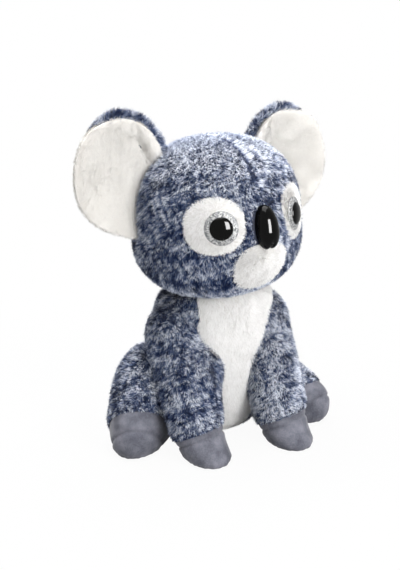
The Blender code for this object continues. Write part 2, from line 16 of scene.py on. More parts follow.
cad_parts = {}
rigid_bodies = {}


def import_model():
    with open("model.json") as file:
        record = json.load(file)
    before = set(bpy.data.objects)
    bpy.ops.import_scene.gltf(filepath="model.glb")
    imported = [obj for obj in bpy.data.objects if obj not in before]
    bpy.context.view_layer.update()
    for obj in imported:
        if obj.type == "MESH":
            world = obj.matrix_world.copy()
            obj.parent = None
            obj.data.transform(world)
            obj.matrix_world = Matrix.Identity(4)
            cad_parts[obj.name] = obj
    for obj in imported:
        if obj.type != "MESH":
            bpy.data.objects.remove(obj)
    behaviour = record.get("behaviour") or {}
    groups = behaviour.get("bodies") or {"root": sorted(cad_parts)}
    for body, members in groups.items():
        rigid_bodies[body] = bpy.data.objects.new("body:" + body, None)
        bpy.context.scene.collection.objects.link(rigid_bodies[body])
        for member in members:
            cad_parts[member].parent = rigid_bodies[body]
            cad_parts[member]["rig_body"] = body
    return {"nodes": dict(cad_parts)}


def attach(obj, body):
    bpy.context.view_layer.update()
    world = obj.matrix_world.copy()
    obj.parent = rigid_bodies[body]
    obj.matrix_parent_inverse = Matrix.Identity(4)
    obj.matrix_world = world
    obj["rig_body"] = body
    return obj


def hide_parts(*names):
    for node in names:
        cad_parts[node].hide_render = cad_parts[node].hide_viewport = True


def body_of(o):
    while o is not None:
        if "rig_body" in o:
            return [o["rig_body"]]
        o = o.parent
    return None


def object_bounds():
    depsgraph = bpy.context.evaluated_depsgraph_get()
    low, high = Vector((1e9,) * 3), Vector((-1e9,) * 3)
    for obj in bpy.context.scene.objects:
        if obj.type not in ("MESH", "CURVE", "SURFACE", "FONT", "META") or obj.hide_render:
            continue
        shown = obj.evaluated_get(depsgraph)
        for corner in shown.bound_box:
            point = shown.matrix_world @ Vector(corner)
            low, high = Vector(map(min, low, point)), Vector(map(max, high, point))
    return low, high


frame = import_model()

bl_info = {
    "name": "Plush koala",
    "version": (1, 0, 0),
    "blender": (4, 5, 0),
    "location": "3D view > Sidebar > Koala",
    "description": "Builds a sitting plush koala with real fur blades",
    "category": "Add Mesh",
}

cad_low, cad_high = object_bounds()

# Head
head_width = 0.137
head_depth = 0.126
head_height = 0.129
head_roundness_power = 2.4
head_turn = radians(7.2)
head_tilt = radians(3.4)
neck_pivot = Vector((0, -0.0185, 0.119))
head_centre = neck_pivot + Vector((0, -0.002, 0.009 + head_height / 2))
head_matrix = (Matrix.Translation(neck_pivot) @ Matrix.Rotation(head_turn, 4, "Z")
               @ Matrix.Rotation(-head_tilt, 4, "Y") @ Matrix.Translation(-neck_pivot))
neck_radius = 0.024
muzzle_proud = 0.0095
muzzle_half_width = 0.027
muzzle_half_height = 0.033
muzzle_drop = 0.008
head_swell = 0.0012
jowl_share = 0.045
jowl_drop = 0.030
jowl_height = 0.018
underside_drop = 0.044
underside_share = 0.72

# Face
eye_side_angle = radians(29.4)
eye_up = 0.0070
iris_radius = 0.0134
iris_seat = 0.0014
eye_curve_radius = 0.052
pupil_radius = 0.0092
pupil_height = 0.0034
eye_patch_size = (0.047, 0.044)
patch_squareness = 2.25
eye_patch_offset = radians(4.2)
eye_patch_up = 0.0012
face_side_angle = radians(-2.4)
nose_up = 0.005
nose_width = 0.0205
nose_height = 0.035
nose_proud = 0.0115
chin_drop = 0.0285
chin_shadow = 0.08
chin_size = (0.0445, 0.044)

# Ears
ear_width = 0.087
ear_height = 0.103
ear_thickness = 0.0115
ear_out = 0.079
ear_up = 0.0385
ear_back = 0.0205
ear_lift = 0.006
ear_cup = 0.008
ear_lining_reach = 1.0
ear_blue_share = 0.11
ear_lobe_shift = 0.42
ear_flap_rise = 0.0032
ear_crease = 0.0036

# Torso, arms and legs
torso_width = 0.100
torso_depth = 0.088
torso_height = 0.1265
torso_lean = 0.016
torso_back = 0.008
torso_top_lift = 0.0115
torso_nape_share = 0.28
seat_sink = 0.0035
chest_width = 0.077
chest_bottom_up = 0.003
chest_top_up = 0.1325
chest_side_shift = 0.0085
shoulder = Vector((0.0415, -0.018, 0.092))
shoulder_radius = 0.023
shoulder_lift = 0.008
shoulder_share = 0.3
arm_width = 0.044
arm_depth = 0.046
paw_out = 0.0395
paw_forward = 0.063
cuff_up = 0.023
cuff_slope = radians(-22.0)
cuff_roll = radians(-12.0)
# Painted light: the left arm's fur is lighter, standing for the stronger light on that side
left_arm_painted_light = 0.26
arm_seam_out = 0.0125
arm_seam_lean = 0.03
arm_seam_tops = (0.078, 0.046)
paw_seam_drop = 0.0055
groove_depth = 0.0011
paw_side_shift = 0.004
arm_fullness = (0.0085, 0.002)
hip = Vector((0.053, 0.006, 0.0))
foot = Vector((0.0805, -0.024, 0.0))
haunch_radius = 0.029
foot_radius = 0.0245
leg_height = 0.080
left_haunch_sink_share = 0.45
foot_top_share = 0.3
foot_seam_slope = radians(45.0)
foot_seam_turn = radians(20.0)
foot_seam_drop = 0.016

# Height, forward shift, half width and half depth of the torso's rings
torso_ring_shares = (
    (0.00, 0.00, 0.00, 0.00), (0.00, 0.00, 0.52, 0.42), (0.03, 0.00, 0.72, 0.60),
    (0.12, 0.08, 0.95, 0.82), (0.28, 0.25, 1.00, 0.96), (0.48, 0.50, 1.02, 1.00),
    (0.68, 0.75, 1.04, 0.97), (0.84, 0.92, 1.04, 0.94), (0.93, 0.98, 1.00, 0.88),
    (0.985, 1.00, 0.84, 0.72), (1.00, 1.00, 0.00, 0.00),
)
# Half width of the chest panel at each height
chest_outline_shares = ((0.0, 0.60), (0.12, 0.70), (0.40, 0.88), (0.72, 1.00), (1.0, 0.97))
# Drop from the shoulder, travel towards the paw, half width and half depth of the arm's rings
arm_ring_shares = (
    (0.00, 0.00, 1.045, 1.00), (0.15, 0.17, 1.06, 1.00), (0.32, 0.38, 1.06, 1.00),
    (0.50, 0.60, 1.04, 1.00), (0.67, 0.80, 1.00, 1.00), (0.80, 0.93, 0.95, 1.00),
    (0.89, 1.03, 0.90, 1.03), (0.96, 1.09, 0.84, 1.00), (1.01, 1.10, 0.58, 0.76),
    (1.01, 1.10, 0.00, 0.00),
)
# Height, reach towards the foot, haunch radius and foot radius of the leg's rings
leg_ring_shares = (
    (-0.02, 0.50, 0.00, 0.00), (-0.02, 0.92, 0.45, 0.70), (0.05, 0.99, 0.68, 0.96),
    (0.16, 1.00, 0.86, 1.06), (0.30, 1.00, 0.98, 1.03), (0.44, 0.96, 1.03, 0.92),
    (0.58, 0.66, 1.02, 1.00), (0.74, 0.40, 0.92, 0.92), (0.88, 0.22, 0.68, 0.68),
    (0.97, 0.10, 0.36, 0.36), (1.00, 0.05, 0.00, 0.00),
)

# Camera, worked out from the photograph's outline, in the 400 by 570 frame
picture_height = 570
camera_azimuth = radians(-26.1)
camera_elevation = radians(15.5)
camera_distance = 0.845
camera_target = Vector((-0.0270, -0.0368, 0.1406))
camera_focal_px = 1030.5
sensor_size = 36.0

sides = ((-1, "right"), (1, "left"))

# Facets of the smooth forms, round and from pole to pole
body_facets = (96, 64)
small_facets = (64, 40)
nose_facets = (96, 72)
lining_facets = (128, 80)
paw_facets = (128, 160)
chest_facets = (40, 48)

# Atlas of the pile's map: one column for each tone, one row for each streak pattern
tone_columns = 32
streak_rows = 8
blades_per_piece = 36000
blade_points = 7
lean_limits = (0.05, 1.45)
floor_clearance = 0.0004
seam_gap = 0.0008


def linear(code, alpha=1.0):
    """Linear colour of an sRGB hex code."""
    parts = [int(code[i:i + 2], 16) / 255 for i in (1, 3, 5)]
    return (*[c / 12.92 if c <= 0.04045 else ((c + 0.055) / 1.055) ** 2.4 for c in parts], alpha)


def add_node(tree, kind, values=None, links=None, **settings):
    """Adds a shader node with its settings, socket values and incoming links."""
    node = tree.nodes.new("ShaderNode" + kind)
    for name, value in settings.items():
        setattr(node, name, value)
    for socket, value in (values or {}).items():
        node.inputs[socket].default_value = value
    plug(node, links or {})
    return node


def plug(node, sources):
    """Links sockets of a node to other nodes, whose first output is meant, or to their sockets."""
    for socket, source in sources.items():
        if isinstance(source, bpy.types.Node):
            source = source.outputs[0]
        node.id_data.links.new(source, node.inputs[socket])


def add_ramp(tree, source, stops):
    """Colour ramp, each stop a place and an sRGB hex code or a linear colour."""
    node = add_node(tree, "ValToRGB", links={0: source})
    elements = node.color_ramp.elements
    while len(elements) < len(stops):
        elements.new(0.5)
    for element, (place, code) in zip(elements, stops):
        element.position = place
        element.color = linear(code) if isinstance(code, str) else (*code, 1)
    return node


def add_texture(tree, kind, size, **values):
    """Noise or cells of a real size, on the piece's own coordinates."""
    place = add_node(tree, "TexCoord")
    return add_node(tree, kind, values={"Scale": 1 / size, **values},
                    links={0: place.outputs["Object"]})


def new_material(name, **values):
    """Principled material with plain values on its own sockets."""
    material = bpy.data.materials.new(name)
    material.use_nodes = True
    tree = material.node_tree
    shader = tree.nodes["Principled BSDF"]
    for socket, value in values.items():
        shader.inputs[socket.replace("_", " ")].default_value = value
    return material, tree, shader


def pile_material(name, root_stops, tip_stops, root_end, tip_start, **values):
    """Polyester pile: each blade's tone and streaks come from its cell of the map.

    The colour runs from the root to the tip: printed on the blue fur, and on the white pile a little
    grey at the roots, painted shade between the blades.
    """
    material, tree, shader = new_material(name, **values)
    cell = add_node(tree, "UVMap", uv_map="OFBake")
    split = add_node(tree, "SeparateXYZ", links={0: cell})
    wide = add_node(tree, "Math", operation="MULTIPLY", values={1: tone_columns},
                    links={0: split.outputs["X"]})
    column = add_node(tree, "Math", operation="FLOOR", links={0: wide})
    tone = add_node(tree, "Math", operation="DIVIDE", values={1: tone_columns - 1},
                    links={0: column})
    tall = add_node(tree, "Math", operation="MULTIPLY", values={1: streak_rows},
                    links={0: split.outputs["Y"]})
    along = add_node(tree, "Math", operation="FRACT", links={0: tall})
    fade = add_node(tree, "MapRange", interpolation_type="SMOOTHSTEP",
                    values={1: root_end, 2: tip_start}, links={0: along})
    root, tip = (add_ramp(tree, tone, stops) for stops in (root_stops, tip_stops))
    colour = add_node(tree, "Mix", data_type="RGBA", links={0: fade, 6: root, 7: tip})
    # Streaks along the blade, four across each column of the map
    stretched = add_node(tree, "Mapping", values={"Scale": (tone_columns * 4, streak_rows * 1.5, 1)},
                         links={0: cell})
    streaks = add_node(tree, "TexNoise", values={"Scale": 1.0, "Detail": 2.0},
                       links={0: stretched})
    level = add_node(tree, "MapRange", values={1: 0.3, 2: 0.7, 3: 0.82, 4: 1.15},
                     links={0: streaks})
    streaked = add_node(tree, "Mix", data_type="RGBA", blend_type="MULTIPLY", values={0: 1.0},
                        links={6: colour.outputs[2], 7: level})
    plug(shader, {"Base Color": streaked.outputs[2]})
    return material


def cloth_material(name, colour_stops, patch_size, grain_size, bump, **values):
    """Knitted or brushed cloth: soft patches of tone, a fine nap and its bump, in real sizes."""
    material, tree, shader = new_material(name, **values)
    patches = add_texture(tree, "TexNoise", patch_size, Detail=2.0)
    grain = add_texture(tree, "TexNoise", grain_size, Detail=3.0)
    blend = add_node(tree, "Mix", data_type="FLOAT", values={0: 0.4}, links={2: patches, 3: grain})
    ramp = add_ramp(tree, blend, colour_stops)
    rough = add_node(tree, "MapRange", values={3: 0.75, 4: 0.95}, links={0: grain})
    relief = add_node(tree, "Bump", values={"Strength": bump, "Distance": grain_size / 3},
                      links={"Height": grain})
    plug(shader, {"Base Color": ramp, "Roughness": rough, "Normal": relief})
    return material


def along_rows(rows, place):
    """Row of a table at a place from 0 to 1, on a smooth curve through all its rows."""
    spans = len(rows) - 1
    index = min(int(place * spans), spans - 1)
    part = place * spans - index
    before = rows[max(index - 1, 0)]
    after = rows[min(index + 2, spans)]
    values = []
    for a, b, c, d in zip(before, rows[index], rows[index + 1], after):
        bend = (2 * a - 5 * b + 4 * c - d) * part ** 2 + (3 * b - a - 3 * c + d) * part ** 3
        values.append(0.5 * (2 * b + (c - a) * part + bend))
    return values


def signed_power(value, power):
    return (1 if value >= 0 else -1) * abs(value) ** power


def smooth_step(value, low, high):
    part = min(1.0, max(0.0, (value - low) / (high - low)))
    return part * part * (3 - 2 * part)


def waves(points, size, seed):
    """Smooth noise from about -1 to 1 whose patches are about one size across."""
    draw = np.random.default_rng(seed)
    total = np.zeros(len(points))
    for _ in range(16):
        wave = draw.normal(size=3)
        wave *= 2 * pi / size * draw.uniform(0.45, 1.5) / np.linalg.norm(wave)
        total += np.sin(points @ wave + draw.uniform(0, 2 * pi))
    return total / 4


def cut_at(mesh, point, normal, keep_above):
    """Cuts a closed mesh at a plane and closes it there."""
    geometry = mesh.verts[:] + mesh.edges[:] + mesh.faces[:]
    bmesh.ops.bisect_plane(mesh, geom=geometry, plane_co=point, plane_no=normal,
                           clear_inner=keep_above, clear_outer=not keep_above)
    bmesh.ops.holes_fill(mesh, edges=[edge for edge in mesh.edges if edge.is_boundary])


def new_piece(name, mesh, body, material):
    """Links a finished mesh as a piece that rides on a CAD body."""
    item = bpy.data.objects.new(name, mesh)
    bpy.context.scene.collection.objects.link(item)
    mesh.materials.append(material)
    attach(item, body)
    return item


def form(name, facets, shape, body, material, matrix=None, cut=None):
    """Closed smooth form: a unit sphere whose points are moved by shape(unit point).

    cut is a plane's point and normal and whether the part above it stays.
    """
    mesh = bmesh.new()
    bmesh.ops.create_uvsphere(mesh, u_segments=facets[0], v_segments=facets[1], radius=1)
    for corner in mesh.verts:
        corner.co = shape(corner.co.copy())
        if matrix is not None:
            corner.co = matrix @ corner.co
        corner.co.z = max(corner.co.z, floor_clearance)
    if cut is not None:
        cut_at(mesh, *cut)
    bmesh.ops.recalc_face_normals(mesh, faces=mesh.faces)
    if mesh.calc_volume(signed=True) < 0:
        bmesh.ops.reverse_faces(mesh, faces=mesh.faces)
    item = new_piece(name, smooth_mesh(name, mesh), body, material)
    return item


def smooth_mesh(name, mesh):
    data = bpy.data.meshes.new(name)
    mesh.to_mesh(data)
    mesh.free()
    data.shade_smooth()
    return data


def ring_place(unit):
    """Place from bottom to top and angle round of a point of the unit sphere."""
    return 1 - acos(max(-1.0, min(1.0, unit.z))) / pi, atan2(unit.y, unit.x)


def scatter(item, per_cm2, draw):
    """Random points of a mesh, spread evenly over its area, with their normals."""
    mesh = item.data
    mesh.calc_loop_triangles()
    places = np.empty(len(mesh.vertices) * 3)
    mesh.vertices.foreach_get("co", places)
    places = places.reshape(-1, 3)
    normals = np.empty(len(mesh.vertices) * 3)
    mesh.vertices.foreach_get("normal", normals)
    normals = normals.reshape(-1, 3)
    corners = np.empty(len(mesh.loop_triangles) * 3, int)
    mesh.loop_triangles.foreach_get("vertices", corners)
    corners = corners.reshape(-1, 3)
    a, b, c = (places[corners[:, i]] for i in range(3))
    area = np.linalg.norm(np.cross(b - a, c - a), axis=1) / 2
    sums = np.cumsum(area)
    count = int(sums[-1] * 1e4 * per_cm2)
    face = np.searchsorted(sums, draw.random(count) * sums[-1])
    u, v = draw.random((2, count))
    flip = u + v > 1
    u[flip], v[flip] = 1 - u[flip], 1 - v[flip]
    share = np.stack((1 - u - v, u, v), axis=1)[:, :, None]
    points = (places[corners[face]] * share).sum(1)
    found = (normals[corners[face]] * share).sum(1)
    return points, unit_rows(found)


def unit_rows(rows):
    return rows / np.maximum(np.linalg.norm(rows, axis=1, keepdims=True), 1e-12)


def grow_pile(name, base, material, pile, comb, keep=None, trim=None, shade=None, seed=1):
    """Grows tapered blades from a form, drawn together in locks as brushed fur is.

    comb gives the way the fur lies, keep which roots stay, trim a share of the length and
    shade the tone from 0, dark, to 1, frosted, each for many roots at once.
    """
    draw = np.random.default_rng(seed)
    points, normals = scatter(base, pile["per_cm2"], draw)
    if keep is not None:
        chosen = keep(points, normals)
        points, normals = points[chosen], normals[chosen]
    count = len(points)
    lock_points, lock_normals = scatter(base, 1e-4 / pile["lock"] ** 2, draw)
    tree = KDTree(len(lock_points))
    for index, place in enumerate(lock_points):
        tree.insert(place, index)
    tree.balance()
    lock = np.array([tree.find(place)[1] for place in points])
    lock_turn, lock_lean, lock_tone = draw.normal(size=(3, len(lock_points)))
    lock_turn *= pile["lock_turn"]
    lock_lean *= pile["lock_lean"]

    def lying(flow, normal, angle):
        flat = unit_rows(flow - normal * (flow * normal).sum(1, keepdims=True))
        side = np.cross(normal, flat)
        return np.cos(angle)[:, None] * flat + np.sin(angle)[:, None] * side

    swirl = waves(points, pile["swirl_size"], seed + 1) * pile["swirl"]
    turn = lock_turn[lock] + swirl + draw.normal(size=count) * pile["turn"]
    forward = lying(comb(points, normals), normals, turn)
    lean = pile["lean"] + lock_lean[lock] + draw.normal(size=count) * pile["lean_spread"]
    lean = np.clip(lean, *lean_limits)
    long = pile["length"] * draw.uniform(0.72, 1.12, count)
    if trim is not None:
        long = long * trim(points, normals)
    stations = [points - normals * pile["length"] * 0.06]
    for share in (0.5, 0.95, 1.25):
        angle = np.minimum(lean * share, 1.5)
        step = normals * np.cos(angle)[:, None] + forward * np.sin(angle)[:, None]
        stations.append(stations[-1] + step * (long / 3)[:, None])
    lock_swirl = waves(lock_points, pile["swirl_size"], seed + 1) * pile["swirl"]
    lock_forward = lying(comb(lock_points, lock_normals), lock_normals, lock_turn + lock_swirl)
    lock_angle = np.clip(pile["lean"] + lock_lean, 0.05, 1.3)
    lock_reach = lock_normals * np.cos(lock_angle)[:, None] + lock_forward * np.sin(lock_angle)[:, None]
    lock_tip = lock_points[lock] + lock_reach[lock] * (long * 0.85)[:, None]
    pull = (lock_tip - stations[3]) * pile["pull"]
    far = np.linalg.norm(pull, axis=1, keepdims=True)
    pull *= np.minimum(1, pile["lock"] * 0.8 / np.maximum(far, 1e-9))
    for index in (1, 2, 3):
        stations[index] = stations[index] + pull * (index / 3) ** 2
    curl = draw.normal(size=(count, 3)) * pile["curl"] * long[:, None]
    stations[2] = stations[2] + curl * 0.5
    stations[3] = stations[3] + curl

    run = unit_rows(stations[2] - stations[0])
    across = unit_rows(np.cross(normals, forward))
    roll = np.clip(draw.normal(size=count) * pile["roll"], -1.2, 1.2)
    side = np.cos(roll)[:, None] * across + np.sin(roll)[:, None] * np.cross(run, across)
    wide = pile["width"] * draw.uniform(0.7, 1.3, count) / 2
    blade = []
    for station, share in zip(stations[:3], (0.75, 1.0, 0.72)):
        offset = side * (wide * share)[:, None]
        blade += [station - offset, station + offset]
    blade.append(stations[3])
    places = np.stack(blade, axis=1).reshape(-1, 3)
    places[:, 2] = np.maximum(places[:, 2], floor_clearance)

    face_normal = unit_rows(np.cross(run, side) * -1)
    face_normal *= np.sign((face_normal * normals).sum(1, keepdims=True))
    mixed = unit_rows(normals * pile["soft"] + face_normal * (1 - pile["soft"]))
    corner_normals = np.repeat(mixed, blade_points, axis=0)

    tone = 0.5 + lock_tone[lock] * pile["lock_tone"] + draw.normal(size=count) * pile["tone_spread"]
    if shade is not None:
        tone = tone + shade(points, normals)
    column = np.clip(np.round(tone * (tone_columns - 1)), 0, tone_columns - 1)
    row = draw.integers(0, streak_rows, count)
    parts = -(-count // blades_per_piece)
    order = np.argsort(points[:, 2] if parts > 1 else np.arange(count))
    places = places.reshape(count, -1)
    corner_normals = corner_normals.reshape(count, -1)
    for number, chosen in enumerate(np.array_split(order, parts)):
        part_name = name if parts == 1 else "%s_%d" % (name, number + 1)
        data = blade_mesh(part_name, places[chosen].reshape(-1, 3),
                          corner_normals[chosen].reshape(-1, 3), column[chosen], row[chosen])
        new_piece(part_name, data, body_of(base)[0], material)


def blade_mesh(name, places, normals, column, row):
    """Mesh of three-step blades, seven points each, mapped to their cells of the atlas."""
    count = len(column)
    corners = np.array((1, 0, 2, 3, 3, 2, 4, 5, 5, 4, 6))
    loops = (np.arange(count)[:, None] * blade_points + corners[None, :]).ravel()
    starts = (np.arange(count)[:, None] * len(corners) + np.array((0, 4, 8))[None, :]).ravel()
    mesh = bpy.data.meshes.new(name)
    mesh.vertices.add(len(places))
    mesh.vertices.foreach_set("co", places.ravel())
    mesh.loops.add(len(loops))
    mesh.loops.foreach_set("vertex_index", loops)
    mesh.polygons.add(len(starts))
    mesh.polygons.foreach_set("loop_start", starts)
    mesh.update(calc_edges=True)
    mesh.shade_smooth()
    across = np.array((0.12, 0.88, 0.05, 0.95, 0.12, 0.88, 0.5))
    along = np.array((0.03, 0.03, 0.35, 0.35, 0.68, 0.68, 0.97))
    u = (column[:, None] + across[None, :]) / tone_columns
    v = (row[:, None] + along[None, :]) / streak_rows
    cells = np.stack((u, v), axis=2).reshape(-1, 2)[loops]
    layer = mesh.uv_layers.new(name="OFBake")
    layer.uv.foreach_set("vector", cells.ravel())
    mesh.normals_split_custom_set_from_vertices(normals.tolist())
    return mesh


def with_muzzle(point):
    """The point moved forward by the swelling of the muzzle, if it is on the face."""
    if point.y > head_centre.y:
        return point
    across = (point.x - head_centre.x) / muzzle_half_width
    rise = (point.z - head_centre.z + muzzle_drop) / muzzle_half_height
    point.y -= muzzle_proud * exp(-(across ** 2 + rise ** 2))
    return point


def soft_head(level, across, forward, up):
    """Point of the stuffed head: rounded box with full jowls, a flat underside and the muzzle."""
    jowl = 1 + jowl_share * exp(-((up + jowl_drop) / jowl_height) ** 2)
    if up < -underside_drop:
        share = underside_share + (1 - underside_share) * (0.5 + 0.5 * forward * level)
        up = (up + underside_drop) * share - underside_drop
    return with_muzzle(head_centre + Vector((
        (head_width / 2 + head_swell) * level * across * jowl,
        (head_depth / 2 + head_swell) * level * forward,
        up * (1 + head_swell / (head_height / 2)),
    )))


def head_shape(unit):
    power = 2 / head_roundness_power
    tilt = pi / 2 - acos(max(-1.0, min(1.0, unit.z)))
    angle = atan2(unit.y, unit.x)
    level = signed_power(cos(tilt), power)
    up = head_height / 2 * signed_power(sin(tilt), power)
    return soft_head(level, cos(angle), sin(angle), up)


def head_point(side_angle, up):
    """Point of the head's surface at an angle from the front and a height over its centre."""
    rise = min(0.999, abs(up) / (head_height / 2))
    level = (1 - rise ** head_roundness_power) ** (1 / head_roundness_power)
    return soft_head(level, sin(side_angle), -cos(side_angle), up)


def head_frame(side_angle, up):
    """Matrix at a point of the untilted head, with Z out of the surface and Y upwards."""
    step_angle = radians(0.5)
    step_up = head_height / 1000
    point = head_point(side_angle, up)
    along = head_point(side_angle + step_angle, up) - head_point(side_angle - step_angle, up)
    rise = head_point(side_angle, up + step_up) - head_point(side_angle, up - step_up)
    out = along.cross(rise).normalized()
    if out.dot(point - head_centre) < 0:
        out = -out
    right = rise.cross(out).normalized()
    axes = Matrix((right, out.cross(right), out)).transposed().to_4x4()
    return Matrix.Translation(point) @ axes


def head_patch(side_angle, up, size, crown, depth):
    """Shape of an oval pad that follows the head's surface round a point."""
    place = head_frame(side_angle, up)
    inverse = place.inverted()

    def shape(unit):
        run = (unit.x ** 2 + unit.y ** 2) ** 0.5
        square = (abs(unit.x) ** patch_squareness + abs(unit.y) ** patch_squareness)
        reach = run / max(square ** (1 / patch_squareness), 1e-9)
        x, y = unit.x * reach * size[0] / 2, unit.y * reach * size[1] / 2
        angle, rise = side_angle, up
        for _ in range(5):
            local = inverse @ head_point(angle, rise)
            angle += (x - local.x) / (head_width / 2)
            rise += y - local.y
        out = head_frame(angle, rise)
        height = crown * abs(unit.z) ** 0.6 if unit.z > 0 else -depth * abs(unit.z) ** 0.6
        return out @ Vector((0, 0, height))
    return shape


def oval_distance(points, side_angle, up, size):
    """1 on the edge of an oval of the head's surface, less inside and more outside."""
    place = head_matrix @ head_frame(side_angle, up)
    local = in_axes(points, place)
    share = np.abs(local[:, :2]) / (size[0] / 2, size[1] / 2)
    distance = (share ** patch_squareness).sum(1) ** (1 / patch_squareness)
    away = local[:, :2] / np.maximum(np.linalg.norm(local[:, :2], axis=1, keepdims=True), 1e-9)
    axes = np.array(place.to_3x3())
    outwards = away[:, :1] * axes[:, 0] + away[:, 1:] * axes[:, 1]
    behind = local[:, 2] < -0.03
    distance[behind] = 9.0
    return distance, outwards


def in_axes(points, matrix):
    """Points of the world in a matrix's own axes."""
    inverse = np.array(matrix.inverted())
    return points @ inverse[:3, :3].T + inverse[:3, 3]


def to_head(points):
    """Points of the world in the untilted head's own axes, from its centre."""
    return in_axes(points, head_matrix) - np.array(head_centre)


def torso_level(rise, front=1.0):
    """Height of a share of the torso; the front of its top is pressed up against the head."""
    lift = torso_top_lift * (0.4 + 0.6 * front)
    return torso_height * rise - seat_sink + lift * smooth_step(rise, 0.55, 1.0)


def torso_shape(unit):
    place, angle = ring_place(unit)
    rise, forward, wide, deep = along_rows(torso_ring_shares, place)
    nape = torso_nape_share * max(0.0, sin(angle)) * smooth_step(rise, 0.62, 1.0)
    return Vector((
        torso_width / 2 * wide * cos(angle) * (1 - 0.5 * nape),
        torso_back - torso_lean * forward + torso_depth / 2 * deep * sin(angle) * (1 - nape),
        torso_level(rise, 0.5 - 0.5 * sin(angle) * min(1.0, deep)),
    ))


def torso_front(x, z):
    """Point of the torso's front at a distance across and a height."""
    low, high = 0.05, 0.98
    for _ in range(24):
        middle = (low + high) / 2
        if torso_level(along_rows(torso_ring_shares, middle)[0]) < z:
            low = middle
        else:
            high = middle
    rise, forward, wide, deep = along_rows(torso_ring_shares, low)
    across = min(0.98, abs(x) / (torso_width / 2 * wide))
    y = torso_back - torso_lean * forward - torso_depth / 2 * deep * (1 - across ** 2) ** 0.5
    return Vector((x, y, z))


def chest_rise(z):
    return (np.asarray(z) - chest_bottom_up) / (chest_top_up - chest_bottom_up)


def chest_half_width(z):
    """Half width of the white chest at each height, 0 above it."""
    rows = np.array(chest_outline_shares)
    half = np.interp(chest_rise(z), rows[:, 0], rows[:, 1]) * chest_width / 2
    return np.where(chest_rise(z) > 1.02, 0, half)


def chest_middle(z):
    """Middle of the white chest at each height: its top is sewn a little to the toy's left."""
    return chest_side_shift * np.clip(chest_rise(z) * 1.6 - 0.3, 0, 1)


def arm_shape(side):
    def shape(unit):
        place, angle = ring_place(unit)
        down = 1 - place
        if down < shoulder_share:
            tilt = pi / 2 * (down / shoulder_share)
            top = (shoulder_radius + shoulder_lift) * cos(tilt)
            centre = Vector((side * shoulder.x, shoulder.y, shoulder.z + top))
            half_width = half_depth = shoulder_radius * sin(tilt)
        else:
            row = along_rows(arm_ring_shares, (down - shoulder_share) / (1 - shoulder_share))
            drop, reach, wide, deep = row
            centre = Vector((
                side * (shoulder.x + (paw_out - shoulder.x) * reach),
                shoulder.y - (paw_forward + shoulder.y) * reach,
                shoulder.z * (1 - drop),
            ))
            centre.x += paw_side_shift * smooth_step(drop, 0.80, 1.0)
            half_width = arm_width / 2 * wide
            half_depth = arm_depth / 2 * deep
        full = exp(-((centre.z - shoulder.z + 0.016) / 0.020) ** 2)
        full *= arm_fullness[side > 0]
        inner, front = max(0.0, -side * cos(angle)), max(0.0, -sin(angle))
        bulge = Vector((-side * 1.4 * inner, -front, 0)) * full
        return centre + Vector((half_width * cos(angle), half_depth * sin(angle), 0)) + bulge
    return shape


def leg_shape(side):
    near = Vector((side * hip.x, hip.y, 0))
    far = Vector((side * foot.x, foot.y, 0))
    toward = (far - near).normalized()

    def shape(unit):
        place, angle = ring_place(unit)
        rise, reach, wide, toe = along_rows(leg_ring_shares, place)
        near_radius = haunch_radius * wide
        facing = Vector((cos(angle), sin(angle), 0)) if near_radius > 0.0005 else Vector()
        share = (1 + facing.dot(toward)) / 2
        radius = near_radius + (foot_radius * toe - near_radius) * share
        run = (far - near).length * reach
        if side > 0:
            rise -= left_haunch_sink_share * share * max(0.0, rise - foot_top_share)
        return near + toward * run * share + facing * radius + Vector((0, 0, leg_height * rise))
    return shape


def gathered(shape, point, up, drop):
    """The same shape with a sewn groove below a seam and faint gathers towards the sole."""
    def with_groove(unit):
        place = shape(unit)
        below = (point - place).dot(up)
        middle = Vector((point.x, point.y, place.z))
        out = (place - middle).normalized()
        groove = groove_depth * exp(-((below - drop) / 0.0011) ** 2)
        pillow = 0.0007 * smooth_step(below, drop, drop + 0.004)
        low = smooth_step(-place.z, -0.012, -0.003)
        turn = atan2(out.y, out.x)
        gathers = 0.0005 * low * sin(21 * turn) * sin(5 * turn + 1)
        return place + out * (pillow - groove + gathers)
    return with_groove


def plane_side(points, point, up):
    """Height of points over a plane through a point."""
    return (points - np.array(point)) @ np.array(up)


def seam_trim(points, point, up):
    """Share of the fur's length near a seam, where it is clipped short."""
    return 0.55 + 0.45 * np.clip(plane_side(points, point, up) / 0.008, 0, 1)


def fur_pile(**changes):
    """Settings of the long blue fur, in metres and radians."""
    fur = bpy.context.scene.koala_fur
    return {
        "length": fur.pile_length, "width": fur.blade_width, "per_cm2": fur.blades_per_cm2,
        "lean": radians(50), "lean_spread": radians(14), "turn": radians(28),
        "lock": 0.0013, "lock_turn": radians(20), "lock_lean": radians(9), "lock_tone": 0.13,
        "pull": 0.15, "swirl": radians(32), "swirl_size": 0.022, "curl": 0.04, "roll": 0.7,
        "soft": 0.7, "tone_spread": 0.22, **changes}


def plush_pile(**changes):
    """Settings of the white plush."""
    plush = bpy.context.scene.koala_plush
    return fur_pile(**{
        "length": plush.pile_length, "width": plush.blade_width, "per_cm2": plush.blades_per_cm2,
        "lean": radians(42), "lean_spread": radians(8), "turn": radians(14), "lock": 0.0030,
        "lock_turn": radians(10), "lock_lean": radians(4), "lock_tone": 0.05, "pull": 0.1,
        "soft": 0.97, "roll": 0.4, "tone_spread": 0.1, **changes})


def mottled_with_painted_light(points, normals):
    """Tone of the fur: random patches of frosted and dark pile, and painted light: lighter where it
    faces up and darker where it faces down, as though lit from above.
    """
    # The term with the normal's height is painted light from above
    return (0.28 * waves(points, 0.010, 5) + 0.27 * waves(points, 0.0048, 6)
            + 0.18 * normals[:, 2] - 0.07)


def falling(points, across=0.0, back=0.0):
    """Way of fur that hangs down its form, with a share of it to the toy's left and its back."""
    flow = np.zeros_like(points)
    flow += (0, back, -1)
    flow[:, 0] += across
    return flow


